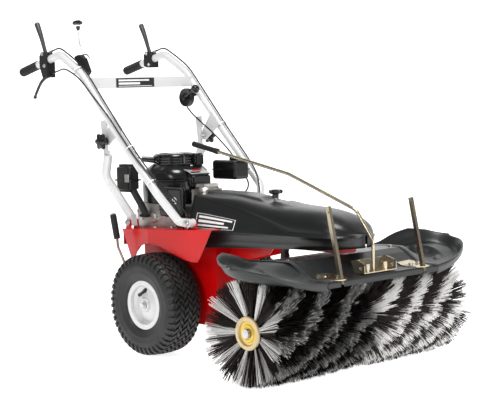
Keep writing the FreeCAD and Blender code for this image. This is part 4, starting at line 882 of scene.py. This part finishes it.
def wing_ring(part):
    """One cross-section of a wing, from its front lip over the bowl to its rear lip."""
    x = cover_half + (wing_reach - cover_half) * part
    shrink = max(1 - part ** 2.6, 0.0) ** (1 / 2.2)
    middle = -0.797 + 0.017 * part
    front, rear = middle - 0.151 * shrink, middle + 0.160 * shrink
    z_front, z_rear = between(x, edge_front), between(x, edge_rear)
    lip_front = 0.022 * (1 - part) + 0.010
    ring = [(front + 0.0015, z_front - lip_front), (front, z_front - 0.004),
            (front + 0.001 * shrink, z_front)]
    for way in (0.008, 0.018, 0.03, 0.045, 0.065, 0.09, 0.12, 0.16, 0.21, 0.27, 0.34, 0.42, 0.5, 0.58, 0.66,
                0.73,
                0.79, 0.84, 0.88, 0.91, 0.935, 0.955, 0.97, 0.982, 0.992):
        y = front + (rear - front) * way
        across = 2 * way - 1
        inside = 1 - part ** 2.6 - abs(across * shrink) ** 2.2
        slope = math.hypot(2.6 * part ** 1.6 / (wing_reach - cover_half),
                           2.2 * abs(across * shrink) ** 1.2 / 0.155)
        away = inside / max(slope, 1e-6)
        edge = z_front * (1 - way) + z_rear * way
        depth = (0.008 * (1 - way) + wing_wall * way) * (1 - eased(part)) + wing_wall * eased(part)
        bowl = edge - depth * eased(away / 0.030)
        share = eased(part * 2.4)
        z = read_line(y, cover_profile) * (1 - share) + bowl * share
        over_brush = 0.196 + math.sqrt(max(0.201 ** 2 - (y + 0.753) ** 2, 0.0))
        if x < 0.51 and edge - 0.012 > over_brush:
            z = max(z, over_brush)
        ring.append((y, z))
    ring += [(rear - 0.001 * shrink, z_rear), (rear, z_rear - 0.004), (rear - 0.0015, z_rear - 0.012)]
    return x, ring


for name, side in (("right", -1), ("left", 1)):
    rings = []
    for k in range(40):
        x, ring = wing_ring(min(math.sin(math.pi / 2 * k / 39), 0.9996))
        rings.append([spot(side * x, y, z) for y, z in ring])
    points, faces = loft(rings, closed=False, capped=False)
    wing = mesh_piece("wing_shell_" + name, points, faces, cover_black, "head", 60)
    wall = wing.modifiers.new("wall", "SOLIDIFY")
    wall.thickness = 0.003
    wall.offset = side * 1.0
    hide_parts("cover_wing_" + name)
finish_node(cover_black, "cover_centre")
seam_x = cover_half - 0.001
for name, side in (("right", -1), ("left", 1)):
    rings = []
    for y, z in cover_profile[1:]:
        rings.append([spot(side * (seam_x - 0.016), y, z + 0.0004),
                      spot(side * (seam_x - 0.010), y, z + 0.0028),
                      spot(side * (seam_x + 0.010), y, z + 0.0028),
                      spot(side * (seam_x + 0.016), y, z + 0.0004)])
    points, faces = loft(rings, closed=False, capped=False)
    mesh_piece("cover_seam_" + name, points, faces, cover_black, "head", 60)

# ---- plated parts of the brush head ----
# Yellow-zinc plates, square lock bars, the accessory bracket and the swivel rod with its grip.
yellow_zinc = surface("yellow_zinc", (0.56, 0.47, 0.31), 0.26, 1.0, other=(0.44, 0.40, 0.33), patch=22,
                      grain=260,
                      relief=0.1)
finish_node(yellow_zinc, "accessory_bracket", "lock_plates", "lock_bar_right", "lock_bar_left", "swivel_rod",
            "cover_bolts")
grip_foot = spot(0, -0.0033, 0.7766)
grip_point = spot(0, -0.505, 0.676)
rod_way = (grip_point - grip_foot).normalized()
rod_grip = [(-0.004, 0.0), (-0.004, 0.008), (-0.001, 0.0106), (0.006, 0.0108), (0.045, 0.0102),
            (0.075, 0.0098),
            (0.112, 0.0100), (0.128, 0.0112), (0.136, 0.0112), (0.138, 0.0064)]
handle = lathe("swivel_sleeve", rod_grip, grip_foot, rod_way, grip_rubber, "head", 32)
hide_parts("swivel_grip")

# ---- brush: helical bands of black and white fibres ----
# Fibres stand on a core in two halves with the gearbox between them. Their tips are ragged, and
# at the outer ends they splay past the stepped end disc.
fibre_black = surface("fibre_black", (0.005, 0.003, 0.0025), 0.45, other=(0.020, 0.010, 0.008), patch=160,
                      grain=900, relief=0.1, gleam=0.35)
fibre_white = surface("fibre_white", (0.93, 0.92, 0.90), 0.5, other=(0.72, 0.71, 0.70), patch=160, grain=900,
                      relief=0.1)
core_dark = surface("core_dark", (0.008, 0.006, 0.005), 0.8, patch=60, relief=0.4, gleam=0.1)
disc_gold = surface("disc_gold", (0.60, 0.47, 0.26), 0.36, 0.3, other=(0.46, 0.36, 0.21), patch=18,
                    relief=0.08)
disc_yellow = surface("disc_yellow", (0.70, 0.48, 0.06), 0.3, 0.4, other=(0.50, 0.36, 0.10), patch=22,
                      relief=0.08)
brush_axis = spot(0, -0.753, 0.190)
band_count = 9
white_share = 0.40
longest_fibre = 0.1900
twist = math.radians(112)
fibre_base = 0.050
start_x, disc_x, end_x = 0.040, 0.454, 0.4995
tuft_rows, tufts_per_turn, tuft_fibres = 50, 40, 8
numbers = numpy.random.default_rng(11)


def fibres(side, white):
    """Points and faces of every fibre of one colour on one half of the brush, tuft by tuft."""
    row = numpy.repeat(numpy.arange(tuft_rows), tufts_per_turn)
    column = numpy.tile(numpy.arange(tufts_per_turn), tuft_rows)
    tufts = len(row)
    place = start_x + (disc_x - start_x) * (row + numbers.uniform(0.1, 0.9, tufts)) / tuft_rows
    angle = 2 * math.pi * (column + 0.5 * (row % 2) + numbers.uniform(-0.25, 0.25, tufts)) / tufts_per_turn
    phase = angle + side * twist * (place - start_x) / (disc_x - start_x)
    band = numpy.mod(phase * band_count / (2 * math.pi) + numbers.normal(0, 0.016, tufts), 1.0)
    lean = numbers.normal(0, 0.0042, tufts)
    bend = numbers.normal(0, 0.022, tufts)
    reach = longest_fibre - numbers.gamma(1.6, 0.0042, tufts)
    keep = (band < white_share) == white
    place, angle, lean, bend, reach = (numpy.repeat(row_of[keep], tuft_fibres)
                                       for row_of in (place, angle, lean, bend, reach))
    count = len(place)
    place = place + numbers.uniform(-0.004, 0.004, count)
    angle = angle + numbers.uniform(-0.07, 0.07, count)
    outward = numpy.clip(((place - start_x) / (disc_x - start_x) - 0.84) / 0.16, 0, 1)
    inward = numpy.clip(1 - (place - start_x) / 0.05, 0, 1)
    tip_x = place + lean + outward * 0.040 - inward * 0.026 + numbers.normal(0, 0.0035, count)
    tip_x = numpy.clip(tip_x, 0.003, end_x)
    tip_angle = angle + bend + numbers.normal(0, 0.012, count)
    length = reach - numbers.gamma(1.2, 0.0022, count) - numpy.abs(tip_x - place) * 0.25
    points = []
    for radius, x, turn, width in ((numpy.full(count, fibre_base), place, angle, 0.0012),
                                   (length, tip_x, tip_angle, 0.0010)):
        for corner in range(3):
            spin = 2 * math.pi * corner / 3
            dx = width * math.cos(spin)
            around = width * math.sin(spin)
            y = brush_axis.y + radius * numpy.cos(turn) - around * numpy.sin(turn)
            z = brush_axis.z + radius * numpy.sin(turn) + around * numpy.cos(turn)
            points.append(numpy.stack([side * (x + dx), y, numpy.maximum(z, 0.0005)], axis=1))
    index = numpy.arange(count)
    faces = []
    for a in range(3):
        b = (a + 1) % 3
        quad = numpy.stack([index + a * count, index + b * count, index + (b + 3) * count,
                            index + (a + 3) * count],
                           axis=1)
        faces.append(quad if side > 0 else quad[:, ::-1])
    tips = numpy.stack([index + 3 * count, index + 4 * count, index + 5 * count], axis=1)
    return numpy.concatenate(points), numpy.concatenate(faces), tips


for name, side in (("right", -1), ("left", 1)):
    for tint, white, material in (("black", False, fibre_black), ("white", True, fibre_white)):
        corners, quads, tips = fibres(side, white)
        tufts = mesh_piece(f"fibres_{tint}_{name}", corners.tolist(), quads.tolist() + tips.tolist(),
                           material,
                           "brush", 180)
        if not white:
            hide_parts("bristles_" + name)
    middle = Vector((0, brush_axis.y, brush_axis.z))
    lathe("brush_core_" + name, [(0.040, 0.02), (0.040, 0.095), (0.2, 0.112), (0.40, 0.106), (0.446, 0.060),
                                 (0.4535, 0.052)], middle, (side, 0, 0), core_dark, "brush", 60)
    disc_rim = [(0.454, 0.050), (0.4545, 0.0560), (0.459, 0.0565), (0.4625, 0.0540), (0.4630, 0.0420),
                (0.4600, 0.0400),
                (0.4560, 0.0385)]
    disc = lathe("end_disc_" + name, disc_rim, middle, (side, 0, 0), disc_gold, "brush", 64)
    if side < 0:
        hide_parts("end_discs")
    disc_cup = [(0.4560, 0.0385), (0.4562, 0.0300), (0.4590, 0.0280), (0.4590, 0.0210), (0.4562, 0.0195),
                (0.4562, 0.0150)]
    lathe("end_cup_" + name, disc_cup, middle, (side, 0, 0), disc_yellow, "brush", 64)
    hub = [(0.4562, 0.0165), (0.4640, 0.0160), (0.4645, 0.0140), (0.4645, 0.0100), (0.4700, 0.0095),
           (0.4705, 0.0050),
           (0.4680, 0.0045), (0.4680, 0.0)]
    lathe("end_hub_" + name, hub, middle, (side, 0, 0), turned_steel, "brush", 48)
